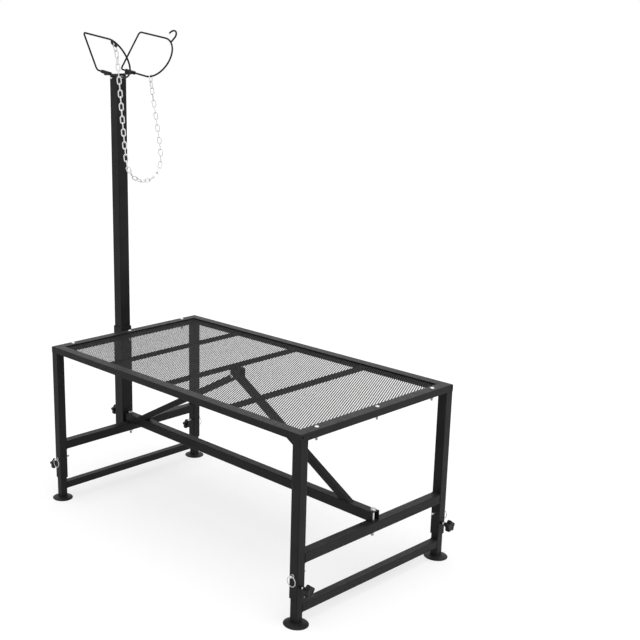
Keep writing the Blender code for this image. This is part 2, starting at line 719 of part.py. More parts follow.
left_bend = in_plane(0.0435, DEPTH - 0.0695)
bottom = in_plane(0.126, DEPTH)
right_bend = in_plane(0.2010, DEPTH - 0.0700)
first_bend = chain_start + eye_down * 0.016
curves = [(first_bend, first_bend + eye_down * 0.020, left_bend - sideways * 0.013 + Z * 0.080, left_bend),
          (left_bend, left_bend + sideways * 0.0045 - Z * 0.0370, bottom - sideways * 0.044, bottom),
          (bottom, bottom + sideways * 0.050, right_bend + sideways * 0.0015 - Z * 0.037, right_bend),
          (right_bend, right_bend - sideways * 0.0024 + Z * 0.060, chain_end + sideways * 0.009 - Z * 0.080,
           chain_end)]
FINE = 240
route = [chain_start, first_bend]
for curve in curves:
    route += [bezier(*curve, i / FINE) for i in range(1, FINE + 1)]


def stations(pitch):
    """Points along the route, one pitch apart in a straight line."""
    points = [route[0]]
    for a, b in zip(route, route[1:]):
        while (b - points[-1]).length >= pitch:
            low, high = 0.0, 1.0
            for _ in range(30):
                mid = (low + high) / 2
                if (a.lerp(b, mid) - points[-1]).length < pitch:
                    low = mid
                else:
                    high = mid
            points.append(a.lerp(b, high))
    return points


low, high = 0.012, 0.030
for _ in range(40):
    pitch = (low + high) / 2
    reached = stations(pitch)
    if len(reached) > CHAIN_LINKS:
        low = pitch
    else:
        high = pitch
pitch = low
joints = stations(pitch)[:CHAIN_LINKS + 1]
joints[-1] = chain_end

plane_normal = sideways.cross(Z)
half_length = pitch / 2 + SEAT
half_straight = half_length - LINK_RADIUS
odd = []
even = []
for number in range(CHAIN_LINKS):
    a = joints[number]
    b = joints[number + 1]
    direction = (b - a).normalized()
    flat = plane_normal.cross(direction)
    width_axis = flat if number % 2 == 0 else plane_normal
    corners = [(half_straight, LINK_RADIUS), (half_length, 0.45 * LINK_RADIUS),
               (half_length, -0.45 * LINK_RADIUS), (half_straight, -LINK_RADIUS)]
    corners += [(-u, -v) for u, v in corners]
    path = [(a + b) / 2 + direction * u + width_axis * v for u, v in corners]
    link = swept(path, direction.cross(width_axis), HALF_WIRE, 5, True)
    (even if number % 2 == 0 else odd).append(link)
machine(body("chain", joined(even), ZINC, chain_start), [("UNION", joined(odd))])

for piece in bpy.data.objects:
    piece.location.x += FRAME_SHIFT
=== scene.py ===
import math

import bmesh
import bpy
from mathutils import Matrix, Vector

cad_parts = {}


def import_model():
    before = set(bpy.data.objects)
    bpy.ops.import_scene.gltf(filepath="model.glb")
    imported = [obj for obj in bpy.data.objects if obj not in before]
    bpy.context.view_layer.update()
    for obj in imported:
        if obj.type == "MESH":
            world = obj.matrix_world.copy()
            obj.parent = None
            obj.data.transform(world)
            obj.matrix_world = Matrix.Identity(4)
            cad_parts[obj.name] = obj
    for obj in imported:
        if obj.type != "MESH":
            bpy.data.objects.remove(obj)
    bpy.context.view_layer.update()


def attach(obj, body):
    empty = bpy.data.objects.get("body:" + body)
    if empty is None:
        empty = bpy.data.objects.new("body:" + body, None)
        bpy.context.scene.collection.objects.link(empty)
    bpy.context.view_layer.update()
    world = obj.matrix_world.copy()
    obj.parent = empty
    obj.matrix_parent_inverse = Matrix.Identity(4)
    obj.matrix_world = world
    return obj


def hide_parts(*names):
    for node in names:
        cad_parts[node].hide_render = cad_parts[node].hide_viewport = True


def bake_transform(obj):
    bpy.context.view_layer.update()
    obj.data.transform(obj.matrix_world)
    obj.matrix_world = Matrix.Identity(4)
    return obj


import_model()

FRAME_SHIFT = 0.02215

# Deck
DECK_LENGTH = 1.067
DECK_WIDTH = 0.6144
DECK_TOP = 0.5213
FLANGE = 0.031
DROP = 0.020
LIP = 0.033
ANGLE_WALL = 0.0025
RAIL_BEND = 0.0022
INNER_BEND = 0.0012
TOE = 0.0008
CHAMFER = TOE * 0.3
MITRE_GAP = 0.0002
GAP = 0.0003
MESH_LOW = 0.5163
MESH_HIGH = 0.5185
DIAMOND_X = 0.0071
DIAMOND_Y = 0.0139
SHEET_INSET = 0.0138
SHORTEST_STRAND = 0.002
CROSS_X = (-0.2711, -0.0123, 0.2522)
CROSS_WIDTH = 0.0254
CROSS_HEIGHT = 0.0065
CROSS_CORNER = 0.0008
BOLT_Y = (-0.2335, 0.0, 0.2335)
BOLT_X = 0.5180

# Width, thickness and tilt of the strands in the mesh's two families
DARK_STRAND = (0.0024, 0.0009, 0.0)
THIN_STRAND = (0.0015, 0.0003, math.radians(14.7))

# Small holes in the rails' drops: place along the rail from its middle, depth below the deck's top, radius
SIDE_HOLE = (0.250, 0.0105, 0.0016)
END_HOLE = (0.300, 0.0082, 0.0028)
HOLE_INWARD = 0.006
HOLE_OUTWARD = 0.002

# End frames
LEG_X = 0.5195
LEG_Y = 0.2932
OUTER_TUBE = 0.028
INNER_TUBE = 0.023
WALL = 0.0015
OUTER_LOW = 0.0730
OUTER_HIGH = 0.5010
INNER_LOW = 0.0053
INNER_HIGH = 0.4000
LEG_TRAVEL = 0.150
PIN_HOLES = 7
TOP_BAR_WIDTH = 0.0330
TOP_BAR_X = 0.5142
TOP_BAR_LOW = 0.5013
TOP_BAR_HIGH = 0.5160
CROSSBAR_Z = 0.1855
LOWER_BAR_Z = 0.0447
FOOT_RADIUS = 0.0333
FOOT_HEIGHT = 0.0050
KNOB_Z = 0.1085
PIN_Z = 0.1400
PIN_RADIUS = 0.0032
RING_RADIUS = 0.0138
RING_WIRE = 0.0010
RING_OUT = 0.0075
RING_HOLE = 0.0018
RING_LIFT = 0.0004
BORE_REACH = 0.02

# Middle brace
BAR_TUBE = 0.0292
BAR_Z = 0.2144
BAR_HALF_LENGTH = 0.5285
BRACE_SLOPES = {"head": math.radians(29.8), "rear": math.radians(31.0)}
BRACE_TUBE = 0.0197
BRACE_FOOT = 0.2293
BRACE_APEX = 0.4977
BRACKET_LENGTH = 0.038
BRACKET_LOW = 0.4756
BRACKET_PLATE = 0.0025
APEX_BOLT = (-0.0085, 0.4836)

# Fasteners: shank radii, hexagons' corner radii, and heights of tips and nuts
THREAD_PITCH = 0.0010
KNOB_STUD = 0.0028
KNOB_NUT = 0.0048
DECK_BOLT = 0.0031
DECK_NUT = 0.0062
DECK_BOLT_TIP = 0.4865
DECK_NUT_LOW = 0.4950
BAR_BOLT = 0.0039
BAR_HEX = 0.0075
BAR_BOLT_TIP = 0.1560
BAR_NUT_LOW = 0.1652
BAR_NUT_HIGH = 0.1712
APEX_SHANK = 0.0029
APEX_HEX = 0.0060
APEX_NUT_THICK = 0.0048
APEX_TIP_OUT = 0.0100
NUT_EASE = 0.0003
PLATE_SCREW = 0.0024
SCREW_TIP = 0.0075

# Head piece
POST_X = -0.5558
POST_TUBE = 0.0384
POST_LOW = 0.180
POST_HIGH = 1.3595
SLEEVE_TUBE = 0.0440
SLEEVE_WALL = 0.0021
SLEEVE_LOW = 0.168
SLEEVE_HIGH = 0.532
SLEEVE_KNOB_Z = 0.2195
PLATE_THICK = 0.004
PLATE_LENGTH = 0.032
PLATE_WIDTH = 0.086
PLATE_CORNER = 0.003
PLUG_PLAY = 0.0008
PLUG_DEPTH = 0.020
SINK = 0.001
BARREL_SHIFT = 0.002
BARREL_Y = 0.0487
BARREL_Z = 1.3684
BARREL_RADIUS = 0.0056
BARREL_BORE = 0.0033
BARREL_LENGTH = 0.045
BARREL_TILT = math.radians(9.8)
RIB_REACH = 0.0150
RIB_IN = 0.0395
RIB_OUT = BARREL_Y - 0.0038
LOOP_LEAN = math.radians(28.8)
LOOP_SIZE = 0.134
LOOP_STRAIGHT = 0.1286
LOOP_SHIFT = 0.0487
LOOP_BEND = 0.0093
BOW_RADIUS = LOOP_SIZE / 2
ROD = 0.0028
EYE_ANGLE = math.radians(68.6)
EYE_RADIUS = 0.0570
EYE_HOLE = 0.0048
EYE_SIDES = 48
EYE_STRETCH = 0.0060
EYE_HALF_WIDE = 0.0080
EYE_HALF_LONG = EYE_STRETCH + EYE_HALF_WIDE
EYE_HALF_THICK = 0.0015
EYE_EASE = 0.0004
SCREW_Z = 1.3523
SIDE_SCREW_BACK = 0.0100
CHAIN_WIRE = 0.0035
CHAIN_LINKS = 43
CHAIN_OVERLAP = 0.0008
CHAIN_DEPTH = 0.4245
LINK_RADIUS = 0.00575
LINK_ROLL = math.radians(45)
ROLL_LINKS = 4

# Finish: corner radii of the tubes, eased edges and weld beads
CORNER_CUTS = 5
TUBE_CORNER = 0.0024
SMALL_CORNER = 0.0020
SLEEVE_CORNER = 0.0032
POST_CORNER = 0.0030
LEAST_CORNER = 0.0004
EASE = 0.0005
BEAD = 0.0014
BEAD_CORNER = 0.0030
BEAD_RIPPLE = 0.0032
BEAD_WAVE = 0.13
BEAD_SIDES = 8
LEG_TOP_BEAD = 0.0011
LOWER_BAR_BEAD = 0.0012
FOOT_BEAD = 0.0016
SLEEVE_BEAD = 0.0016
BRACE_BEAD = 0.0013
CORNER_BEAD = 0.0009
BEAD_INSET = 0.0006

# Camera, floor and light; the camera is from the photograph
FOCAL_MM = 59.60089
SENSOR_MM = 36.0
PICTURE_SHIFT = 0.3295525
EYE = Vector((2.20477, -2.14047, 1.44032))
VIEW_RIGHT = Vector((0.609605, 0.792433, -0.020787))
VIEW_DOWN = Vector((0.184050, -0.166995, -0.968627))
VIEW_FORWARD = Vector((-0.771043, 0.586654, -0.247648))
FLOOR_HALF = 30.0
FLOOR_GREY = 0.45
FLOOR_GLOW = 0.62
WORLD_LIGHT = 0.55
WHITE = 1.0

X = Vector((1, 0, 0))
Y = Vector((0, 1, 0))
Z = Vector((0, 0, 1))
ORIGIN = Vector((0, 0, 0))
SHIFT = X * FRAME_SHIFT
ENDS = (("head", -1), ("rear", 1))
SIDES = (("left", -1), ("right", 1))


# Materials.

def material(name):
    """An empty node material with its Principled shader and the object's own coordinates."""
    made = bpy.data.materials.new(name)
    made.use_nodes = True
    tree = made.node_tree
    shader = tree.nodes["Principled BSDF"]
    place = tree.nodes.new("ShaderNodeTexCoord").outputs["Object"]
    return made, tree, shader, place


def noise(tree, place, scale, detail=2.0, roughness=0.5):
    node = tree.nodes.new("ShaderNodeTexNoise")
    node.inputs["Scale"].default_value = scale
    node.inputs["Detail"].default_value = detail
    node.inputs["Roughness"].default_value = roughness
    tree.links.new(place, node.inputs["Vector"])
    return node.outputs["Fac"]


def ramp(tree, value, stops):
    """Colours along a value from 0 to 1: each stop is a position and a colour."""
    node = tree.nodes.new("ShaderNodeValToRGB")
    band = node.color_ramp
    while len(band.elements) < len(stops):
        band.elements.new(0.5)
    for element, (position, colour) in zip(band.elements, stops):
        element.position = position
        element.color = (*colour, 1.0)
    tree.links.new(value, node.inputs["Fac"])
    return node.outputs["Color"]


def remap(tree, value, low, high, new_low, new_high):
    node = tree.nodes.new("ShaderNodeMapRange")
    for name, number in (("From Min", low), ("From Max", high), ("To Min", new_low), ("To Max", new_high)):
        node.inputs[name].default_value = number
    tree.links.new(value, node.inputs["Value"])
    return node.outputs["Result"]


def mix(tree, factor, first, second):
    """Colour between two colours; each is an output or a fixed colour."""
    node = tree.nodes.new("ShaderNodeMix")
    node.data_type = "RGBA"
    tree.links.new(factor, node.inputs["Factor"])
    for socket, colour in ((node.inputs[6], first), (node.inputs[7], second)):
        if isinstance(colour, tuple):
            socket.default_value = (*colour, 1.0)
        else:
            tree.links.new(colour, socket)
    return node.outputs[2]


def times(tree, first, second):
    node = tree.nodes.new("ShaderNodeMath")
    node.operation = "MULTIPLY"
    tree.links.new(first, node.inputs[0])
    tree.links.new(second, node.inputs[1])
    return node.outputs[0]


def bump(tree, shader, heights):
    """Chained bumps: each is a height output, a strength and a distance in metres."""
    normal = None
    for height, strength, distance in heights:
        node = tree.nodes.new("ShaderNodeBump")
        node.inputs["Strength"].default_value = strength
        node.inputs["Distance"].default_value = distance
        tree.links.new(height, node.inputs["Height"])
        if normal is not None:
            tree.links.new(normal, node.inputs["Normal"])
        normal = node.outputs["Normal"]
    tree.links.new(normal, shader.inputs["Normal"])


def powder_coat(name, dark, light, speck, gloss):
    """Satin black powder coat: orange peel, slow tone changes, sparse pale rubs, and a paler tone on
    up-facing surfaces that is partly dust and partly painted light on the tops.
    """
    made, tree, shader, place = material(name)
    tone = ramp(tree, noise(tree, place, 14.0, 3.0), [(0.35, dark), (0.65, light)])
    rubs = remap(tree, noise(tree, place, 310.0, 4.0, 0.62), 0.66, 0.74, 0.0, 1.0)
    where = remap(tree, noise(tree, place, 21.0, 2.0), 0.50, 0.66, 0.0, 0.55)
    worn = mix(tree, times(tree, rubs, where), tone, speck)
    # Up-facing surfaces turn pale grey: partly dust, partly a painted highlight for the light that falls on
    # the tops.
    facing = tree.nodes.new("ShaderNodeSeparateXYZ")
    geometry = tree.nodes.new("ShaderNodeNewGeometry")
    tree.links.new(geometry.outputs["Normal"], facing.inputs["Vector"])
    up = remap(tree, facing.outputs["Z"], 0.55, 0.98, 0.0, 0.28)
    dust_and_painted_top_light = times(tree, up, remap(tree, noise(tree, place, 46.0, 5.0, 0.6), 0.30, 0.72, 0.25, 1.0))
    tree.links.new(mix(tree, dust_and_painted_top_light, worn, (0.075, 0.073, 0.070)), shader.inputs["Base Color"])
    rough = remap(tree, noise(tree, place, 75.0, 3.0), 0.30, 0.70, gloss - 0.05, gloss + 0.07)
    tree.links.new(rough, shader.inputs["Roughness"])
    shader.inputs["Specular IOR Level"].default_value = 0.12
    bump(tree, shader, [(noise(tree, place, 520.0, 1.5), 0.16, 0.0004),
                        (noise(tree, place, 60.0, 1.0), 0.06, 0.001)])
    return made


def zinc_plate(name, bright, dull, gloss):
    """Bright zinc plate: mottled grey, a little yellow and blue from its passivation, dull in patches."""
    made, tree, shader, place = material(name)
    mottle = ramp(tree, noise(tree, place, 260.0, 4.0, 0.6), [(0.32, dull), (0.68, bright)])
    tint = ramp(tree, noise(tree, place, 95.0, 1.0), [(0.35, (0.66, 0.63, 0.55)), (0.65, (0.58, 0.62, 0.66))])
    shade = remap(tree, noise(tree, place, 40.0, 2.0), 0.40, 0.70, 0.0, 0.30)
    tree.links.new(mix(tree, shade, mottle, tint), shader.inputs["Base Color"])
    rough = remap(tree, noise(tree, place, 420.0, 3.0), 0.30, 0.70, gloss - 0.07, gloss + 0.09)
    tree.links.new(rough, shader.inputs["Roughness"])
    shader.inputs["Metallic"].default_value = 1.0
    bump(tree, shader, [(noise(tree, place, 900.0, 2.0), 0.12, 0.0002)])
    return made


def moulded_plastic(name):
    """Black moulded plastic: fine spark-eroded grain and faint flow marks."""
    made, tree, shader, place = material(name)
    dark, light = (0.005, 0.005, 0.005), (0.009, 0.009, 0.009)
    tone = ramp(tree, noise(tree, place, 120.0, 3.0), [(0.35, dark), (0.65, light)])
    tree.links.new(tone, shader.inputs["Base Color"])
    rough = remap(tree, noise(tree, place, 240.0, 2.0), 0.30, 0.70, 0.34, 0.48)
    tree.links.new(rough, shader.inputs["Roughness"])
    shader.inputs["Specular IOR Level"].default_value = 0.22
    bump(tree, shader, [(noise(tree, place, 1900.0, 1.0), 0.22, 0.0002)])
    return made


COAT = powder_coat("black_powder_coat", (0.0115, 0.0115, 0.0118), (0.0170, 0.0170, 0.0173),
                   (0.07, 0.07, 0.07), 0.43)
STRANDS = powder_coat("black_coated_mesh", (0.012, 0.012, 0.012), (0.019, 0.019, 0.019),
                      (0.08, 0.08, 0.08), 0.62)
BEADS = powder_coat("black_coated_weld", (0.0105, 0.0105, 0.0107), (0.016, 0.016, 0.016),
                    (0.05, 0.05, 0.05), 0.50)
ZINC = zinc_plate("bright_zinc", (0.70, 0.70, 0.69), (0.50, 0.50, 0.49), 0.30)
CHAIN_ZINC = zinc_plate("chain_zinc", (0.78, 0.78, 0.78), (0.58, 0.58, 0.58), 0.24)
PLASTIC = moulded_plastic("black_plastic")


# Shapes: each is a list of points and a list of faces.

def placing(origin, u_axis, v_axis, w_axis):
    """Maps local u, v, w to the part's own frame."""
    def place(u, v, w):
        return origin + u_axis * u + v_axis * v + w_axis * w
    return place


def along_x(y, z):
    return placing(Vector((0, y, z)), Y, Z, X)


def along_y(x, z):
    return placing(Vector((x, 0, z)), Z, X, Y)


def along_z(x, y):
    return placing(Vector((x, y, 0)), X, Y, Z)


def arc(cu, cv, radius, start, stop, steps):
    """Points on an arc about cu, cv, between two angles in degrees."""
    angles = [math.radians(start + (stop - start) * i / steps) for i in range(steps + 1)]
    return [(cu + radius * math.cos(angle), cv + radius * math.sin(angle)) for angle in angles]


def rectangle(width, height, radius, cuts=CORNER_CUTS):
    """Rounded rectangle about the origin."""
    points = []
    for quarter in range(4):
        side_u = 1 if quarter in (0, 3) else -1
        side_v = 1 if quarter in (0, 1) else -1
        points += arc(side_u * (width / 2 - radius), side_v * (height / 2 - radius), radius,
                      90 * quarter, 90 * quarter + 90, cuts)
    return points


def circle(radius, sides):
    return arc(0, 0, radius, 0, 360 - 360 / sides, sides - 1)


def height_at(end, u, v):
    return end(u, v) if callable(end) else end


def loft(loops, cyclic=False):
    """Closed skin over loops of equal point counts: capped at both ends, or joined last to first."""
    count = len(loops[0])
    verts = [point for loop in loops for point in loop]
    faces = []
    for i in range(len(loops) if cyclic else len(loops) - 1):
        base = i * count
        following = (i + 1) % len(loops) * count
        for k in range(count):
            m = (k + 1) % count
            faces.append((base + k, base + m, following + m, following + k))
    if not cyclic:
        faces.append(tuple(range(count))[::-1])
        faces.append(tuple(range((len(loops) - 1) * count, len(loops) * count)))
    return verts, faces


def prism(profile, place, low, high):
    return loft([[place(u, v, height_at(end, u, v)) for u, v in profile] for end in (low, high)])


def tube(width, height, wall, place, low, high, radius=TUBE_CORNER):
    """Square or rectangular tube with open ends, rounded corners and eased end edges."""
    def ring(inset_by, end, inward):
        profile = rectangle(width - 2 * inset_by, height - 2 * inset_by, max(radius - inset_by, LEAST_CORNER))
        return [place(u, v, height_at(end, u, v) + inward) for u, v in profile]

    ends = [(EASE, 0.0), (EASE * 0.3, EASE * 0.3), (0.0, EASE)]
    loops = [ring(inset_by, low, inward) for inset_by, inward in ends]
    loops += [ring(inset_by, high, -inward) for inset_by, inward in reversed(ends)]
    loops += [ring(wall, high, 0.0), ring(wall, low, 0.0)]
    return loft(loops, cyclic=True)


def drill(place, low, high, radius, sides=32):
    return prism(circle(radius, sides), place, low, high)


def turned(rings, place, sides=32):
    """Lathe-like body: each ring is a height and a radius, or a height and a list of radii."""
    turns = [math.tau * i / sides for i in range(sides)]
    loops = []
    for height, radii in rings:
        if not isinstance(radii, list):
            radii = [radii] * sides
        loops.append([place(radius * math.cos(turn), radius * math.sin(turn), height)
                      for radius, turn in zip(radii, turns)])
    return loft(loops)


def hexagon(radius, sides=48):
    """Radii of a hexagon whose corners are at radius, a little rounded."""
    flat = radius * math.cos(math.radians(30))
    return [min(radius * 0.985, flat / math.cos((math.tau * i / sides) % math.radians(60) - math.radians(30)))
            for i in range(sides)]


def hex_nut(low, high, radius, ease, top=NUT_EASE):
    """Rings of a nut between two heights, eased towards both faces."""
    return [(low, hexagon(radius - ease)), (low + NUT_EASE, hexagon(radius)), (high - top, hexagon(radius)),
            (high, hexagon(radius - ease))]


def dome(base, rise, radius, angles):
    """Rings of a rounded head, at angles in degrees up from its rim."""
    return [(base + rise * math.sin(math.radians(angle)), radius * math.cos(math.radians(angle)))
            for angle in angles]


def threads(low, high, radius):
    """Rings of a screw thread between two heights, with a chamfered start at the low end."""
    rings = [(low, radius * 0.72)]
    height = low + THREAD_PITCH * 0.8
    while height + THREAD_PITCH < high:
        rings += [(height, radius), (height + THREAD_PITCH * 0.5, radius * 0.86)]
        height += THREAD_PITCH
    rings.append((high, radius))
    return rings


def swept(path, normal, radius, sides=16, closed=True, ripple=0.0):
    """Round rod along a planar path; its section's first point is at the path's left."""
    count = len(path)
    loops = []
    run = 0.0
    for i, point in enumerate(path):
        before = path[i - 1] if closed or i else path[0]
        after = path[(i + 1) % count] if closed or i < count - 1 else path[-1]
        first = (point - before).normalized() if point != before else (after - point).normalized()
        second = (after - point).normalized() if after != point else first
        tangent = (first + second).normalized()
        left = normal.cross(tangent).normalized()
        run += (point - before).length if i else 0.0
        thick = radius * (1 + ripple * math.cos(math.tau * run / BEAD_RIPPLE))
        stretch = 1 / max(tangent.dot(first), 0.5)
        loops.append([point + left * (thick * math.cos(math.tau * k / sides) * stretch)
                      + normal * (thick * math.sin(math.tau * k / sides)) for k in range(sides)])
    return loft(loops, cyclic=closed)


def joined(shapes):
    """Several closed shapes as one."""
    verts = []
    faces = []
    for more_verts, more_faces in shapes:
        base = len(verts)
        verts += list(more_verts)
        faces += [tuple(base + i for i in face) for face in more_faces]
    return verts, faces


def fine(path, step, closed=False):
    """The same path with points no further apart than step."""
    points = []
    pairs = list(zip(path, path[1:])) + ([(path[-1], path[0])] if closed else [])
    for a, b in pairs:
        cuts = max(1, round((b - a).length / step))
        points += [a.lerp(b, i / cuts) for i in range(cuts)]
    return points if closed else points + [path[-1]]


def bead_round(width, height, place, radius=BEAD, corner=BEAD_CORNER):
    """Weld bead round a tube of that section, in the plane w = 0."""
    path = fine([place(u, v, 0) for u, v in rectangle(width, height, corner)], BEAD_RIPPLE / 4, closed=True)
    normal = (place(0, 0, 1) - place(0, 0, 0)).normalized()
    return swept(path, normal, radius, BEAD_SIDES, True, BEAD_WAVE)


def bead_line(a, b, normal, radius=BEAD):
    """Straight weld bead from a to b."""
    return swept(fine([a, b], BEAD_RIPPLE / 4), normal, radius, BEAD_SIDES, False, BEAD_WAVE)


# Pieces.

def object_from(name, shape, look):
    verts, faces = shape
    mesh = bpy.data.meshes.new(name)
    mesh.from_pydata([Vector(point) + SHIFT for point in verts], [], faces)
    tidy = bmesh.new()
    tidy.from_mesh(mesh)
    bmesh.ops.recalc_face_normals(tidy, faces=tidy.faces)
    tidy.to_mesh(mesh)
    tidy.free()
    mesh.materials.append(look)
    made = bpy.data.objects.new(name, mesh)
    bpy.context.scene.collection.objects.link(made)
    return made


def machined(made, steps):
    """Unite or cut an object with other closed shapes."""
    helpers = []
    for operation, shape in steps:
        helper = object_from("helper", shape, made.data.materials[0])
        step = made.modifiers.new(operation.lower(), "BOOLEAN")
        step.operation = operation
        step.solver = "EXACT"
        step.object = helper
        helpers.append(helper)
    bpy.context.view_layer.update()
    done = bpy.data.meshes.new_from_object(made.evaluated_get(bpy.context.evaluated_depsgraph_get()))
    made.modifiers.clear()
    made.data = done
    for helper in helpers:
        bpy.data.objects.remove(helper, do_unlink=True)
    while len(done.materials) > 1:
        done.materials.pop()
    for face in done.polygons:
        face.material_index = 0


def piece(name, shape, look, body, *nodes, steps=(), bevel=0.0, sharp=35):
    """One shown piece: its mesh, its finish, the body it rides on and the CAD nodes it stands for.
    """
    made = object_from(name, shape, look)
    if steps:
        machined(made, steps)
    mesh = made.data
    mesh.shade_smooth()
    mesh.set_sharp_from_angle(angle=math.radians(sharp))
    if bevel:
        edges = made.modifiers.new("eased", "BEVEL")
        edges.width = bevel
        edges.segments = 2
        edges.limit_method = "ANGLE"
        edges.angle_limit = math.radians(40)
        edges.harden_normals = False
    normals = made.modifiers.new("flat faces stay flat", "WEIGHTED_NORMAL")
    normals.keep_sharp = True
    if body:
        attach(made, body)
    if nodes:
        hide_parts(*nodes)
    return made


# Deck rails: rolled sections with rounded toes and mitred ends. The short ones are plain angles, the long
# ones fold in at the bottom and up again to the mesh.

HALF_L = DECK_LENGTH / 2
HALF_W = DECK_WIDTH / 2
LOW = DECK_TOP - DROP
INSIDE = DECK_TOP - ANGLE_WALL
FOLD = ANGLE_WALL + INNER_BEND
RAIL_TOP = [(0, LOW + TOE)] + arc(RAIL_BEND, DECK_TOP - RAIL_BEND, RAIL_BEND, 180, 90, 5)
RAIL_TOP += arc(FLANGE - TOE, DECK_TOP - TOE, TOE, 90, 0, 3)
RAIL_TOP += arc(FLANGE - TOE, INSIDE + TOE, TOE, 0, -90, 3)
RAIL_TOP += arc(FOLD, INSIDE - INNER_BEND, INNER_BEND, 90, 180, 3)
LOWER_EDGE = [(TOE, LOW), (CHAMFER, LOW + CHAMFER)]
ANGLE_PROFILE = RAIL_TOP + [(ANGLE_WALL, LOW + TOE), (ANGLE_WALL - CHAMFER, LOW + CHAMFER),
                            (ANGLE_WALL - TOE, LOW)] + LOWER_EDGE
CHANNEL_PROFILE = RAIL_TOP + arc(FOLD, LOW + ANGLE_WALL + INNER_BEND, INNER_BEND, 180, 270, 3)
CHANNEL_PROFILE += arc(LIP - ANGLE_WALL - INNER_BEND, LOW + ANGLE_WALL + INNER_BEND, INNER_BEND, 270, 360, 3)
CHANNEL_PROFILE += [(LIP - ANGLE_WALL, MESH_LOW - GAP), (LIP, MESH_LOW - GAP)]
CHANNEL_PROFILE += arc(LIP - RAIL_BEND, LOW + RAIL_BEND, RAIL_BEND, 0, -90, 5) + LOWER_EDGE
INSIDE_LIPS = HALF_W - LIP - GAP


def rail_hole(position, outward, offset, drop, radius):
    """Small hole through a rail's drop."""
    along = Vector((abs(outward.y), abs(outward.x), 0))
    place = placing(along * position + outward * offset + Z * (DECK_TOP - drop), along, Z, outward)
    return drill(place, -HOLE_INWARD, HOLE_OUTWARD, radius, 16)


def rail(name, profile, length, along, outward, offset, hole):
    """One rail, with a small hole near each end."""
    place = placing(outward * offset, -outward, Z, along)
    shape = prism(profile, place,
                  lambda u, v: -(length / 2 - u - MITRE_GAP), lambda u, v: length / 2 - u - MITRE_GAP)
    position, drop, radius = hole
    cuts = [("DIFFERENCE", rail_hole(sign * position, outward, offset, drop, radius)) for sign in (-1, 1)]
    piece(name + "_rolled", shape, COAT, "stand", name, steps=cuts)


for side, sign in SIDES:
    rail("rail_" + side, CHANNEL_PROFILE, DECK_LENGTH, X, Y * sign, HALF_W, SIDE_HOLE)
for end, sign in ENDS:
    rail("rail_" + end, ANGLE_PROFILE, DECK_WIDTH, Y, X * sign, HALF_L, END_HOLE)


# Expanded-metal sheet: two crossing families of narrow strands.

SHEET_X = LEG_X - SHEET_INSET
SHEET_Y = HALF_W - ANGLE_WALL - GAP


def strands(slant, width, thick, tilt):
    """All strands of one family, each cut at the sheet's edges."""
    mid = (MESH_LOW + MESH_HIGH) / 2
    rise = math.tan(tilt) * width / 2
    section = [(-width / 2, mid - rise - thick / 2), (width / 2, mid + rise - thick / 2),
               (width / 2, mid + rise + thick / 2), (-width / 2, mid - rise + thick / 2)]
    direction = Vector((slant * DIAMOND_X, DIAMOND_Y)).normalized()
    across = Vector((direction.y, -direction.x))
    spacing = DIAMOND_X * DIAMOND_Y / math.hypot(DIAMOND_X, DIAMOND_Y)
    reach = SHEET_X * abs(across.x) + SHEET_Y * abs(across.y)
    shapes = []
    for number in range(math.ceil(-reach / spacing), math.floor(reach / spacing) + 1):
        middle = across * (number * spacing)
        spans = []
        for centre, step, half in ((middle.x, direction.x, SHEET_X), (middle.y, direction.y, SHEET_Y)):
            spans.append(sorted(((-half - centre) / step, (half - centre) / step)))
        start = max(span[0] for span in spans)
        stop = min(span[1] for span in spans)
        if stop - start < SHORTEST_STRAND:
            continue
        place = placing(Vector((*middle, 0)), Vector((*across, 0)), Z, Vector((*direction, 0)))
        shapes.append(prism(section, place, start, stop))
    return shapes


piece("deck_mesh_strands", joined(strands(1, *THIN_STRAND) + strands(-1, *DARK_STRAND)), STRANDS, "stand",
      "deck_mesh")

CROSS_TOP = MESH_LOW - GAP
for label, x in zip(("head", "mid", "rear"), CROSS_X):
    name = "cross_member_" + label
    bar = prism(rectangle(CROSS_HEIGHT, CROSS_WIDTH, CROSS_CORNER), along_y(x, CROSS_TOP - CROSS_HEIGHT / 2),
                -INSIDE_LIPS, INSIDE_LIPS)
    piece(name + "_flat", bar, COAT, "stand", name)


# Knobs: a five-lobed head on a hub, its threaded stud and the nut welded to the tube. Rings here and below
# are pairs of a height along the part's axis and a radius.

def star(radius, depth, sides=80):
    """Radii of a five-lobed outline."""
    return [radius * (1 - depth + depth * math.cos(5 * math.tau * i / sides)) for i in range(sides)]


KNOB_HUB = [(0.0096, 0.0052), (0.0100, 0.0058), (0.0140, 0.0061), (0.0176, 0.0067), (0.0188, 0.0084)]
KNOB_RIM = [(0.0193, star(0.0136, 0.10)), (0.0199, star(0.0160, 0.14)), (0.0212, star(0.0172, 0.175)),
            (0.0230, star(0.0175, 0.18)), (0.0295, star(0.0175, 0.18)), (0.0312, star(0.0172, 0.175)),
            (0.0326, star(0.0160, 0.15)), (0.0333, star(0.0140, 0.11)), (0.0335, star(0.0118, 0.06))]
KNOB_DISH = [(0.0335, 0.0074), (0.0330, 0.0068), (0.0325, 0.0062), (0.0325, 0.0030)]
STUD_END = 0.0110
LEG_STUD_TIP = -0.0022
SLEEVE_STUD_TIP = -0.0025


def clamping_knob(node, body, base, outward, tip):
    """A star knob's plastic, stud and nut."""
    place = placing(base, Z, outward.cross(Z) if abs(outward.x) > 0.5 else X, outward)
    piece(node + "_head", turned(KNOB_HUB + KNOB_RIM + KNOB_DISH, place, 80), PLASTIC, body, node, sharp=50)
    piece(node + "_stud", turned(threads(tip, STUD_END, KNOB_STUD), place, 24), ZINC, body)
    nut = hex_nut(0.0001, 0.0040, KNOB_NUT, 0.0003, 0.0004)
    piece(node + "_nut", turned(nut, place, 48), COAT, "stand")


# End frames.

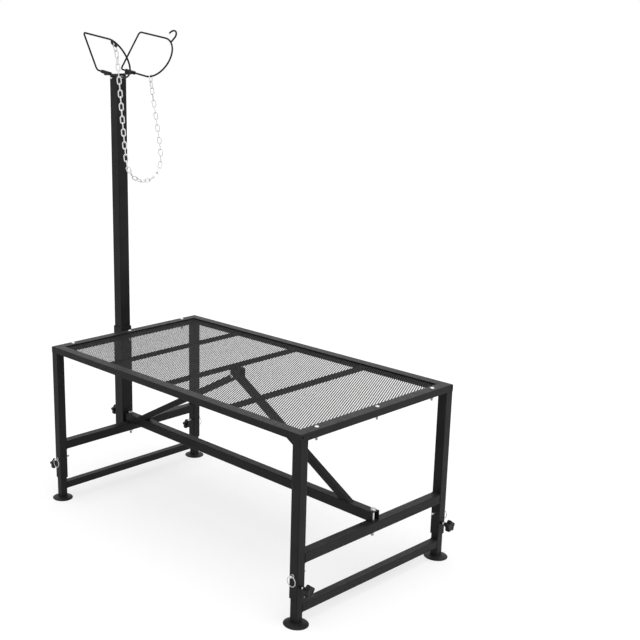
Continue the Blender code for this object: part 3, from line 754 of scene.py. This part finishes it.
FOOT = [(0.0, 0.0328), (0.0003, 0.0331), (0.0006, FOOT_RADIUS), (0.0011, FOOT_RADIUS), (0.0016, 0.0331),
        (0.0022, 0.0322), (0.0033, 0.0282), (0.0044, 0.0220), (FOOT_HEIGHT, 0.0172), (FOOT_HEIGHT, 0.0060)]
PIN = [(-0.0445, 0.0012), (-0.0440, 0.0019), (-0.0428, 0.0028), (-0.0418, PIN_RADIUS), (GAP, PIN_RADIUS),
       (GAP, 0.0046), (GAP + 0.0004, 0.0050), (0.0026, 0.0050), (0.0030, 0.0046), (0.0031, 0.0040),
       (0.0096, 0.0040), (0.0108, 0.0037), (0.0116, 0.0030), (0.0118, 0.0020)]


def top_bar(end, sx):
    """Flat tube under the deck's flange, mitred at both ends."""
    corner = HALF_W - HALF_L + TOP_BAR_X - 2 * MITRE_GAP
    place = along_y(sx * TOP_BAR_X, (TOP_BAR_HIGH + TOP_BAR_LOW) / 2)
    shape = tube(TOP_BAR_HIGH - TOP_BAR_LOW, TOP_BAR_WIDTH, WALL, place,
                 lambda u, v: -corner - sx * v, lambda u, v: corner + sx * v, SMALL_CORNER)
    piece("top_bar_" + end + "_tube", shape, COAT, "stand", "top_bar_" + end)


def bar_between_legs(name, size, body, x, z, corner):
    """Square tube between two legs of its own size."""
    inside = LEG_Y - size / 2 - GAP
    piece(name + "_tube", tube(size, size, WALL, along_y(x, z), -inside, inside, corner), COAT, body, name)


def pin_bores(x, y, heights):
    """Cuts for the lock pin's holes through a leg."""
    shapes = [drill(placing(Vector((x, y, height)), Z, X, Y), -BORE_REACH, BORE_REACH, PIN_RADIUS + GAP)
              for height in heights]
    return [("DIFFERENCE", shape) for shape in shapes]


def lock_pin(where, x, face_y, sy):
    """Quick-release pin, and the pull ring that hangs in its head."""
    pin_place = placing(Vector((x, face_y, PIN_Z)), Z, X * sy, Y * sy)
    ring_y = face_y + sy * RING_OUT
    ring_hole = drill(placing(Vector((x, ring_y, PIN_Z)), Y, Z, X), -0.01, 0.01, RING_HOLE, 20)
    piece("lock_pin_" + where + "_body", turned(PIN, pin_place), ZINC, "pin_" + where, "lock_pin_" + where,
          steps=[("DIFFERENCE", ring_hole)])

    hang = Vector((x, ring_y, PIN_Z + RING_LIFT))
    ring_place = placing(hang - Z * RING_RADIUS, Z, X, Y)
    path = [ring_place(u, v, 0) for u, v in circle(RING_RADIUS, 56)]
    piece("pull_ring_" + where + "_wire", swept(path, Y, RING_WIRE, 12), ZINC, "ring_" + where,
          "pull_ring_" + where)


def leg(end, side, sx, sy):
    """One leg: outer and inner tube, foot, clamping knob, lock pin and pull ring."""
    x = sx * LEG_X
    y = sy * LEG_Y
    where = end + "_" + side
    legs = "legs_" + end
    piece("outer_leg_" + where + "_tube",
          tube(OUTER_TUBE, OUTER_TUBE, WALL, along_z(x, y), OUTER_LOW, OUTER_HIGH), COAT, "stand",
          "outer_leg_" + where, steps=pin_bores(x, y, [PIN_Z]))
    heights = [PIN_Z + LEG_TRAVEL * number / (PIN_HOLES - 1) for number in range(PIN_HOLES)]
    piece("inner_leg_" + where + "_tube",
          tube(INNER_TUBE, INNER_TUBE, WALL, along_z(x, y), INNER_LOW, INNER_HIGH, SMALL_CORNER), COAT, legs,
          "inner_leg_" + where, steps=pin_bores(x, y, heights))
    piece("foot_" + where + "_pad", turned(FOOT, along_z(x, y), 64), COAT, legs, "foot_" + where)
    knob_base = Vector((x + sx * OUTER_TUBE / 2, y, KNOB_Z))
    clamping_knob("leg_knob_" + where, "knob_" + where, knob_base, X * sx, LEG_STUD_TIP)
    lock_pin(where, x, y + sy * OUTER_TUBE / 2, sy)


def deck_bolt(name, x, y):
    """Carriage bolt down through the deck's flange and the top bar, with its nut."""
    head = DECK_TOP + GAP
    bolt = threads(DECK_BOLT_TIP, DECK_NUT_LOW, DECK_BOLT)
    bolt += hex_nut(DECK_NUT_LOW, OUTER_HIGH, DECK_NUT, 0.0004, 0.0004)
    bolt += [(OUTER_HIGH, DECK_BOLT), (head, DECK_BOLT), (head, 0.0062)]
    bolt += dome(head + 0.0004, 0.0036, 0.0063, (4, 20, 36, 52, 68, 82))
    piece(name + "_carriage", turned(bolt, along_z(x, y), 48), ZINC, "stand", name)


for end, sx in ENDS:
    top_bar(end, sx)
    bar_between_legs("crossbar_" + end, OUTER_TUBE, "stand", sx * LEG_X, CROSSBAR_Z, TUBE_CORNER)
    bar_between_legs("lower_bar_" + end, INNER_TUBE, "legs_" + end, sx * LEG_X, LOWER_BAR_Z, SMALL_CORNER)
    for side, sy in SIDES:
        leg(end, side, sx, sy)
    for y, side in zip(BOLT_Y, ("left", "mid", "right")):
        deck_bolt("deck_bolt_" + end + "_" + side, sx * BOLT_X, y)


# Middle brace.

piece("centre_bar_tube",
      tube(BAR_TUBE, BAR_TUBE, WALL, along_x(0, BAR_Z), -BAR_HALF_LENGTH, BAR_HALF_LENGTH), COAT, "stand",
      "centre_bar")


def bar_bolt(end, sx):
    """Upright bolt through the centre bar and a crossbar, with its nut below."""
    bolt = threads(BAR_BOLT_TIP, BAR_NUT_LOW, BAR_BOLT)
    bolt += hex_nut(BAR_NUT_LOW, BAR_NUT_HIGH, BAR_HEX, 0.0005)
    bolt += [(BAR_NUT_HIGH, BAR_BOLT), (BRACE_FOOT, BAR_BOLT), (BRACE_FOOT, hexagon(0.0073))]
    bolt += [(BRACE_FOOT + rise, radius) for rise, radius in
             ((0.0003, hexagon(BAR_HEX)), (0.0052, hexagon(BAR_HEX)), (0.0058, hexagon(0.0071)),
              (0.0063, 0.0058), (0.0064, 0.0030))]
    piece("bar_bolt_" + end + "_hex", turned(bolt, along_z(sx * LEG_X, 0), 48), ZINC, "stand",
          "bar_bolt_" + end)


def brace(end, sx):
    """Sloping tube, cut level on the centre bar and upright at the apex."""
    slope = BRACE_SLOPES[end]
    up = Vector((-sx * math.cos(slope), 0, math.sin(slope)))
    across = Vector((sx * math.sin(slope), 0, math.cos(slope)))
    middle = Vector((0, 0, BRACE_APEX - BRACE_TUBE / 2 / math.cos(slope)))
    place = placing(middle, Y, across, up)

    def foot_end(u, v):
        return (BRACE_FOOT - place(u, v, 0).z) / up.z

    def apex_end(u, v):
        return (sx * GAP / 2 - place(u, v, 0).x) / up.x

    shape = tube(BRACE_TUBE, BRACE_TUBE, WALL, place, foot_end, apex_end, SMALL_CORNER)
    piece("brace_" + end + "_tube", shape, COAT, "stand", "brace_" + end)


for end, sx in ENDS:
    bar_bolt(end, sx)
    brace(end, sx)

BRACKET_TOP = CROSS_TOP - CROSS_HEIGHT - GAP
BRACKET_IN = BRACE_TUBE / 2 + GAP
BRACKET_OUT = BRACKET_IN + BRACKET_PLATE
BRACKET_WEB = BRACKET_TOP - BRACKET_PLATE
bracket = [(-BRACKET_OUT, BRACKET_LOW), (-BRACKET_OUT, BRACKET_TOP), (BRACKET_OUT, BRACKET_TOP),
           (BRACKET_OUT, BRACKET_LOW), (BRACKET_IN, BRACKET_LOW), (BRACKET_IN, BRACKET_WEB),
           (-BRACKET_IN, BRACKET_WEB), (-BRACKET_IN, BRACKET_LOW)]
piece("apex_bracket_channel",
      prism(bracket, placing(ORIGIN, Y, Z, X), -BRACKET_LENGTH / 2, BRACKET_LENGTH / 2), COAT, "stand",
      "apex_bracket", bevel=EASE)

EDGE = BRACKET_OUT + GAP
NUT_FACE = EDGE + APEX_NUT_THICK
APEX_TIP = EDGE + APEX_TIP_OUT
apex_bolt = [(-EDGE - 0.0042, 0.0040), (-EDGE - 0.0040, hexagon(0.0056)), (-EDGE - 0.0035, hexagon(APEX_HEX)),
             (-EDGE, hexagon(APEX_HEX)), (-EDGE, APEX_SHANK), (EDGE, APEX_SHANK)]
apex_bolt += hex_nut(EDGE, NUT_FACE, APEX_HEX, 0.0003)
apex_bolt += [(APEX_TIP + NUT_FACE - height, radius)
              for height, radius in reversed(threads(NUT_FACE, APEX_TIP, APEX_SHANK))]
piece("apex_bolt_hex", turned(apex_bolt, along_y(*APEX_BOLT), 48), ZINC, "stand", "apex_bolt")


# Head post and its sleeve.

piece("post_sleeve_tube",
      tube(SLEEVE_TUBE, SLEEVE_TUBE, SLEEVE_WALL, along_z(POST_X, 0), SLEEVE_LOW, SLEEVE_HIGH, SLEEVE_CORNER),
      COAT, "stand", "post_sleeve")
clamping_knob("post_knob", "knob_post", Vector((POST_X - SLEEVE_TUBE / 2, 0, SLEEVE_KNOB_Z)), -X,
              SLEEVE_STUD_TIP)
piece("head_post_tube",
      tube(POST_TUBE, POST_TUBE, WALL, along_z(POST_X, 0), POST_LOW, POST_HIGH, POST_CORNER), COAT, "post",
      "head_post")

HINGE = Vector((math.cos(BARREL_TILT), 0, -math.sin(BARREL_TILT)))
HINGE_UP = Vector((math.sin(BARREL_TILT), 0, math.cos(BARREL_TILT)))
PLATE_LOW = POST_HIGH + GAP
PLATE_HIGH = PLATE_LOW + PLATE_THICK
plate = prism(rectangle(PLATE_LENGTH, PLATE_WIDTH, PLATE_CORNER), along_z(POST_X, 0), PLATE_LOW, PLATE_HIGH)
plug_width = POST_TUBE - 2 * WALL - PLUG_PLAY
plug = prism(rectangle(plug_width, plug_width, SMALL_CORNER), along_z(POST_X, 0), POST_HIGH - PLUG_DEPTH,
             PLATE_LOW + SINK)


def barrel_centre(sy):
    return Vector((POST_X + BARREL_SHIFT, sy * BARREL_Y, BARREL_Z))


def rib_height(dx):
    """Height of a barrel's axis, at dx in front of the post's."""
    return BARREL_Z - (dx - BARREL_SHIFT) * math.tan(BARREL_TILT)


def barrel_steps(sy):
    """A rib and a barrel to unite with the plate, and the barrel's bore to cut."""
    barrel = placing(barrel_centre(sy), Y, HINGE_UP, HINGE)
    rib = [(POST_X - RIB_REACH, PLATE_LOW + SINK), (POST_X + RIB_REACH, PLATE_LOW + SINK),
           (POST_X + RIB_REACH, rib_height(RIB_REACH)), (POST_X - RIB_REACH, rib_height(-RIB_REACH))]
    rib_sides = sorted((sy * RIB_IN, sy * RIB_OUT))
    added = [("UNION", prism(rib, placing(ORIGIN, X, Z, Y), *rib_sides)),
             ("UNION", drill(barrel, -BARREL_LENGTH / 2, BARREL_LENGTH / 2, BARREL_RADIUS))]
    return added, [("DIFFERENCE", drill(barrel, -BARREL_LENGTH, BARREL_LENGTH, BARREL_BORE))]


head_steps = [("UNION", plug)]
head_bores = []
for sy in (-1, 1):
    added, bores = barrel_steps(sy)
    head_steps += added
    head_bores += bores
piece("head_plate_block", plate, COAT, "post", "head_plate", steps=head_steps + head_bores)

POST_FACE = POST_TUBE / 2 + GAP
screw = [(SCREW_TIP, PLATE_SCREW), (POST_FACE, PLATE_SCREW), (POST_FACE, 0.0046)]
screw += dome(POST_FACE + 0.0004, 0.0030, 0.0048, (5, 22, 40, 58, 74))
screw += [(0.0224, 0.0011), (0.0213, 0.0010)]
front_screw = placing(Vector((POST_X, 0, SCREW_Z)), Y, Z, X)
side_screw = placing(Vector((POST_X - SIDE_SCREW_BACK, 0, SCREW_Z)), Z, X, -Y)
for label, place in (("front", front_screw), ("side", side_screw)):
    piece("plate_screw_" + label + "_pan", turned(screw, place, 32), ZINC, "post", "plate_screw_" + label)


# Nose loops: planar D-shaped rods that lean outwards and turn in the barrels.

OUTLINE = arc(LOOP_BEND, LOOP_BEND, LOOP_BEND, 180, 270, 8)
OUTLINE += arc(LOOP_STRAIGHT, BOW_RADIUS, BOW_RADIUS, -90, 90, 40)
OUTLINE += arc(LOOP_BEND, LOOP_SIZE - LOOP_BEND, LOOP_BEND, 90, 180, 8)
HOOK = [(0.1613, 0.1224), (0.1634, 0.1282), (0.1661, 0.1340)] + arc(0.1529, 0.1467, 0.0169, -8, 165, 24)


def loop_axes(sy):
    """A loop's upward axis in its own plane, and the plane's normal."""
    rise = HINGE_UP * math.cos(LOOP_LEAN) + Y * (sy * math.sin(LOOP_LEAN))
    return rise, HINGE.cross(rise).normalized()


def loop_point(sy, u, v):
    rise, _ = loop_axes(sy)
    return barrel_centre(sy) + HINGE * (u - LOOP_SHIFT) + rise * v


def eye_plate(sy):
    """Oval plate with a round hole, inside the loop's bow."""
    rise, normal = loop_axes(sy)
    radial = HINGE * math.cos(EYE_ANGLE) + rise * math.sin(EYE_ANGLE)
    eye = loop_point(sy, LOOP_STRAIGHT, BOW_RADIUS) + radial * EYE_RADIUS
    place = placing(eye, normal.cross(radial), radial, normal)
    cuts = EYE_SIDES // 2 - 1
    tab = arc(EYE_STRETCH, 0, EYE_HALF_WIDE, -90, 90, cuts)
    tab += arc(-EYE_STRETCH, 0, EYE_HALF_WIDE, 90, 270, cuts)
    hole = arc(0, 0, EYE_HOLE, -90, 90, cuts) + arc(0, 0, EYE_HOLE, 90, 270, cuts)
    face = EYE_HALF_THICK
    level = EYE_HALF_THICK - EYE_EASE
    loops = []
    for profile, w, less in ((tab, -level, 0), (tab, level, 0), (tab, face, EYE_EASE), (hole, face, 0),
                             (hole, -face, 0), (tab, -face, EYE_EASE)):
        loops.append([place(u * (1 - less / EYE_HALF_LONG), v * (1 - less / EYE_HALF_WIDE), w)
                      for u, v in profile])
    return loft(loops, cyclic=True)


def nose_loop(side, sy):
    """One loop: the left one has the eye plate, the right one has the hook."""
    _, normal = loop_axes(sy)
    parts = [swept([loop_point(sy, u, v) for u, v in OUTLINE], normal, ROD, 16)]
    if side == "left":
        parts.append(eye_plate(sy))
    else:
        parts.append(swept([loop_point(sy, u, v) for u, v in HOOK], normal, ROD, 16, False))
    piece("nose_loop_" + side + "_rod", joined(parts), COAT, "loop_" + side, "nose_loop_" + side)


for side, sy in SIDES:
    nose_loop(side, sy)


# Chain: welded links from the eye of the left loop to the foot of the right loop's bow. The links are rolled
# about the chain, but not at its two ends.

def bezier(a, b, c, d, t):
    s = 1 - t
    return a * (s ** 3) + b * (3 * s * s * t) + c * (3 * s * t * t) + d * (t ** 3)


HALF_WIRE = CHAIN_WIRE / 2
SEAT = HALF_WIRE - CHAIN_OVERLAP / 2
EYE_TO_SEAT = 0.0016
ROD_ANGLE = math.radians(18)
chain_rod = loop_point(1, LOOP_STRAIGHT + BOW_RADIUS * math.sin(ROD_ANGLE),
                       BOW_RADIUS * (1 - math.cos(ROD_ANGLE)))
eye_point = loop_point(-1, LOOP_STRAIGHT + EYE_RADIUS * math.cos(EYE_ANGLE),
                       BOW_RADIUS + EYE_RADIUS * math.sin(EYE_ANGLE))
eye_down = -loop_axes(-1)[0]
chain_start = eye_point + eye_down * (EYE_TO_SEAT + SEAT)
chain_end = chain_rod + Z * (ROD + 0.0005 + HALF_WIRE - SEAT)
sideways = Vector((chain_end.x - chain_start.x, chain_end.y - chain_start.y, 0)).normalized()


def in_plane(h, drop):
    return chain_start + sideways * h - Z * drop


left_bend = in_plane(0.0435, CHAIN_DEPTH - 0.0695)
bottom = in_plane(0.126, CHAIN_DEPTH)
right_bend = in_plane(0.2010, CHAIN_DEPTH - 0.0700)
first_bend = chain_start + eye_down * 0.016
CURVES = [(first_bend, first_bend + eye_down * 0.020, left_bend - sideways * 0.013 + Z * 0.080, left_bend),
          (left_bend, left_bend + sideways * 0.0045 - Z * 0.0370, bottom - sideways * 0.044, bottom),
          (bottom, bottom + sideways * 0.050, right_bend + sideways * 0.0015 - Z * 0.037, right_bend),
          (right_bend, right_bend - sideways * 0.0024 + Z * 0.060, chain_end + sideways * 0.009 - Z * 0.080,
           chain_end)]
CURVE_STEPS = 240
route = [chain_start, first_bend]
for curve in CURVES:
    route += [bezier(*curve, i / CURVE_STEPS) for i in range(1, CURVE_STEPS + 1)]


def stations(pitch):
    """Points along the route, one pitch apart in a straight line."""
    points = [route[0]]
    for a, b in zip(route, route[1:]):
        while (b - points[-1]).length >= pitch:
            low, high = 0.0, 1.0
            for _ in range(30):
                mid = (low + high) / 2
                if (a.lerp(b, mid) - points[-1]).length < pitch:
                    low = mid
                else:
                    high = mid
            points.append(a.lerp(b, high))
    return points


def link_pitch(low, high):
    """The longest pitch between two that leaves room for all links, found by halving."""
    for _ in range(40):
        middle = (low + high) / 2
        if len(stations(middle)) > CHAIN_LINKS:
            low = middle
        else:
            high = middle
    return low


PITCH = link_pitch(0.012, 0.030)
contacts = stations(PITCH)[:CHAIN_LINKS + 1]
contacts[-1] = chain_end

plane_normal = sideways.cross(Z)
LINK_PLAY = 0.0002
HALF_LENGTH = PITCH / 2 + HALF_WIRE - LINK_PLAY
HALF_STRAIGHT = HALF_LENGTH - LINK_RADIUS
LINK = arc(HALF_STRAIGHT, 0, LINK_RADIUS, -90, 90, 10) + arc(-HALF_STRAIGHT, 0, LINK_RADIUS, 90, 270, 10)


def chain_link(number):
    """One link; each is turned by a right angle from the one before it."""
    a = contacts[number]
    b = contacts[number + 1]
    direction = (b - a).normalized()
    roll = LINK_ROLL * min(1, number / ROLL_LINKS, (CHAIN_LINKS - 1 - number) / ROLL_LINKS)
    turn = roll + (math.pi / 2 if number % 2 == 0 else 0)
    width_axis = plane_normal * math.cos(turn) + plane_normal.cross(direction) * math.sin(turn)
    path = [(a + b) / 2 + direction * u + width_axis * v for u, v in LINK]
    return swept(path, direction.cross(width_axis), HALF_WIRE, 12)


lowest = min(range(CHAIN_LINKS), key=lambda number: contacts[number].z)
left_links = joined([chain_link(number) for number in range(lowest)])
right_links = joined([chain_link(number) for number in range(lowest, CHAIN_LINKS)])
left_run = piece("chain_left_run", left_links, CHAIN_ZINC, None, "chain")
right_run = piece("chain_right_run", right_links, CHAIN_ZINC, None)


# Weld beads.

def weld(name, shapes, body):
    piece(name + "_weld", joined(shapes), BEADS, body, sharp=60)


def leg_welds(end, side, sx, sy):
    """Beads at the crossbar and the outer leg's top, and at the lower bar and the foot."""
    x = sx * LEG_X
    y = sy * LEG_Y
    where = end + "_" + side
    leg_face = y - sy * OUTER_TUBE / 2
    leg_top = placing(Vector((x, y, OUTER_HIGH)), X, Y, Z)
    bar_end = placing(Vector((x, leg_face, CROSSBAR_Z)), Z, X, Y)
    weld("outer_leg_" + where,
         [bead_round(OUTER_TUBE, OUTER_TUBE, bar_end),
          bead_round(OUTER_TUBE - BEAD_INSET, OUTER_TUBE - BEAD_INSET, leg_top, LEG_TOP_BEAD)], "stand")
    leg_face = y - sy * INNER_TUBE / 2
    bar_end = placing(Vector((x, leg_face, LOWER_BAR_Z)), Z, X, Y)
    foot_top = placing(Vector((x, y, FOOT_HEIGHT + 0.0004)), X, Y, Z)
    foot_width = INNER_TUBE + 0.0008
    weld("inner_leg_" + where,
         [bead_round(INNER_TUBE, INNER_TUBE, bar_end, LOWER_BAR_BEAD),
          bead_round(foot_width, foot_width, foot_top, FOOT_BEAD)], "legs_" + end)


for end, sx in ENDS:
    for side, sy in SIDES:
        leg_welds(end, side, sx, sy)

SLEEVE_FACE = POST_X + SLEEVE_TUBE / 2
CROSSBAR_SPAN = (CROSSBAR_Z - OUTER_TUBE / 2, CROSSBAR_Z + OUTER_TUBE / 2)
RAIL_SPAN = (LOW, DECK_TOP - 0.002)
sleeve_welds = []
for sy in (-1, 1):
    y = sy * (SLEEVE_TUBE / 2 - 0.0010)
    for low, high in (CROSSBAR_SPAN, RAIL_SPAN):
        ends = [Vector((SLEEVE_FACE, y, z)) for z in (low, high)]
        sleeve_welds.append(bead_line(*ends, X, SLEEVE_BEAD))
weld("post_sleeve", sleeve_welds, "stand")

brace_welds = []
for end, sx in ENDS:
    slope = BRACE_SLOPES[end]
    slant = BRACE_TUBE / math.sin(slope)
    axis_drop = BRACE_APEX - BRACE_TUBE / 2 / math.cos(slope) - BRACE_FOOT
    reach = sx * axis_drop / math.tan(slope)
    foot = placing(Vector((reach, 0, BRACE_FOOT)), X, Y, Z)
    brace_welds.append(bead_round(slant, BRACE_TUBE, foot, BRACE_BEAD))
BRACKET_BEAD_END = BRACKET_LENGTH / 2 - 0.007
for sy in (-1, 1):
    ends = [Vector((sign * BRACKET_BEAD_END, sy * BRACKET_OUT, BRACKET_TOP)) for sign in (-1, 1)]
    brace_welds.append(bead_line(*ends, Z, BRACE_BEAD))
weld("brace", brace_welds, "stand")

corner_welds = []
for sx in (-1, 1):
    for sy in (-1, 1):
        x = sx * (HALF_L - BEAD_INSET)
        y = sy * (HALF_W - BEAD_INSET)
        ends = [Vector((x, y, z)) for z in (LOW + 0.001, DECK_TOP - RAIL_BEND)]
        corner_welds.append(bead_line(*ends, X, CORNER_BEAD))
weld("deck_corner", corner_welds, "stand")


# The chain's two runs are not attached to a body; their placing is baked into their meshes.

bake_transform(left_run)
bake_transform(right_run)


# Floor, light and camera.

def seen(tree, hidden, shown):
    """A value for rays that see the background, and another for those that only light the part."""
    path = tree.nodes.new("ShaderNodeLightPath")
    total = path.outputs["Is Camera Ray"]
    for name in ("Is Glossy Ray", "Is Transmission Ray"):
        most = tree.nodes.new("ShaderNodeMath")
        most.operation = "MAXIMUM"
        tree.links.new(total, most.inputs[0])
        tree.links.new(path.outputs[name], most.inputs[1])
        total = most.outputs[0]
    return remap(tree, total, 0.0, 1.0, hidden, shown)


def floor_material():
    """White floor: it takes the stand's shadow, and shows white to the camera and in reflections."""
    made = bpy.data.materials.new("white_floor")
    made.use_nodes = True
    tree = made.node_tree
    shader = tree.nodes["Principled BSDF"]
    shader.inputs["Base Color"].default_value = (FLOOR_GREY, FLOOR_GREY, FLOOR_GREY, 1.0)
    shader.inputs["Roughness"].default_value = 0.9
    shader.inputs["Specular IOR Level"].default_value = 0.0
    shader.inputs["Emission Color"].default_value = (WHITE, WHITE, WHITE, 1.0)
    tree.links.new(seen(tree, 0.0, FLOOR_GLOW), shader.inputs["Emission Strength"])
    return made


def floor():
    mesh = bpy.data.meshes.new("floor")
    corners = [(-1, -1), (1, -1), (1, 1), (-1, 1)]
    mesh.from_pydata([(x * FLOOR_HALF, y * FLOOR_HALF, 0) for x, y in corners], [], [(0, 1, 2, 3)])
    mesh.materials.append(floor_material())
    made = bpy.data.objects.new("floor", mesh)
    bpy.context.scene.collection.objects.link(made)


def sun(name, towards, spread, strength):
    """Soft light from a far off wide source; towards points from the stand to it."""
    light = bpy.data.lights.new(name, "SUN")
    light.angle = math.radians(spread)
    light.energy = strength
    made = bpy.data.objects.new(name, light)
    made.rotation_euler = (-Vector(towards)).to_track_quat("-Z", "Y").to_euler()
    bpy.context.scene.collection.objects.link(made)


def world():
    made = bpy.data.worlds.new("studio")
    made.use_nodes = True
    tree = made.node_tree
    background = tree.nodes["Background"]
    background.inputs["Color"].default_value = (WHITE, WHITE, WHITE, 1.0)
    tree.links.new(seen(tree, WORLD_LIGHT, WHITE), background.inputs["Strength"])
    bpy.context.scene.world = made


def camera():
    data = bpy.data.cameras.new("camera")
    data.sensor_width = SENSOR_MM
    data.lens = FOCAL_MM
    data.shift_x = PICTURE_SHIFT
    data.clip_end = 100.0
    made = bpy.data.objects.new("camera", data)
    turn = Matrix((VIEW_RIGHT, -VIEW_DOWN, -VIEW_FORWARD)).transposed()
    made.matrix_world = Matrix.Translation(EYE) @ turn.to_4x4()
    bpy.context.scene.collection.objects.link(made)
    bpy.context.scene.camera = made


floor()
world()
camera()
sun("overhead", (0.10, -0.12, 1.0), spread=70, strength=1.35)
sun("rear_side", (1.0, 0.15, 0.45), spread=60, strength=0.55)
bpy.context.scene.view_settings.view_transform = "Standard"
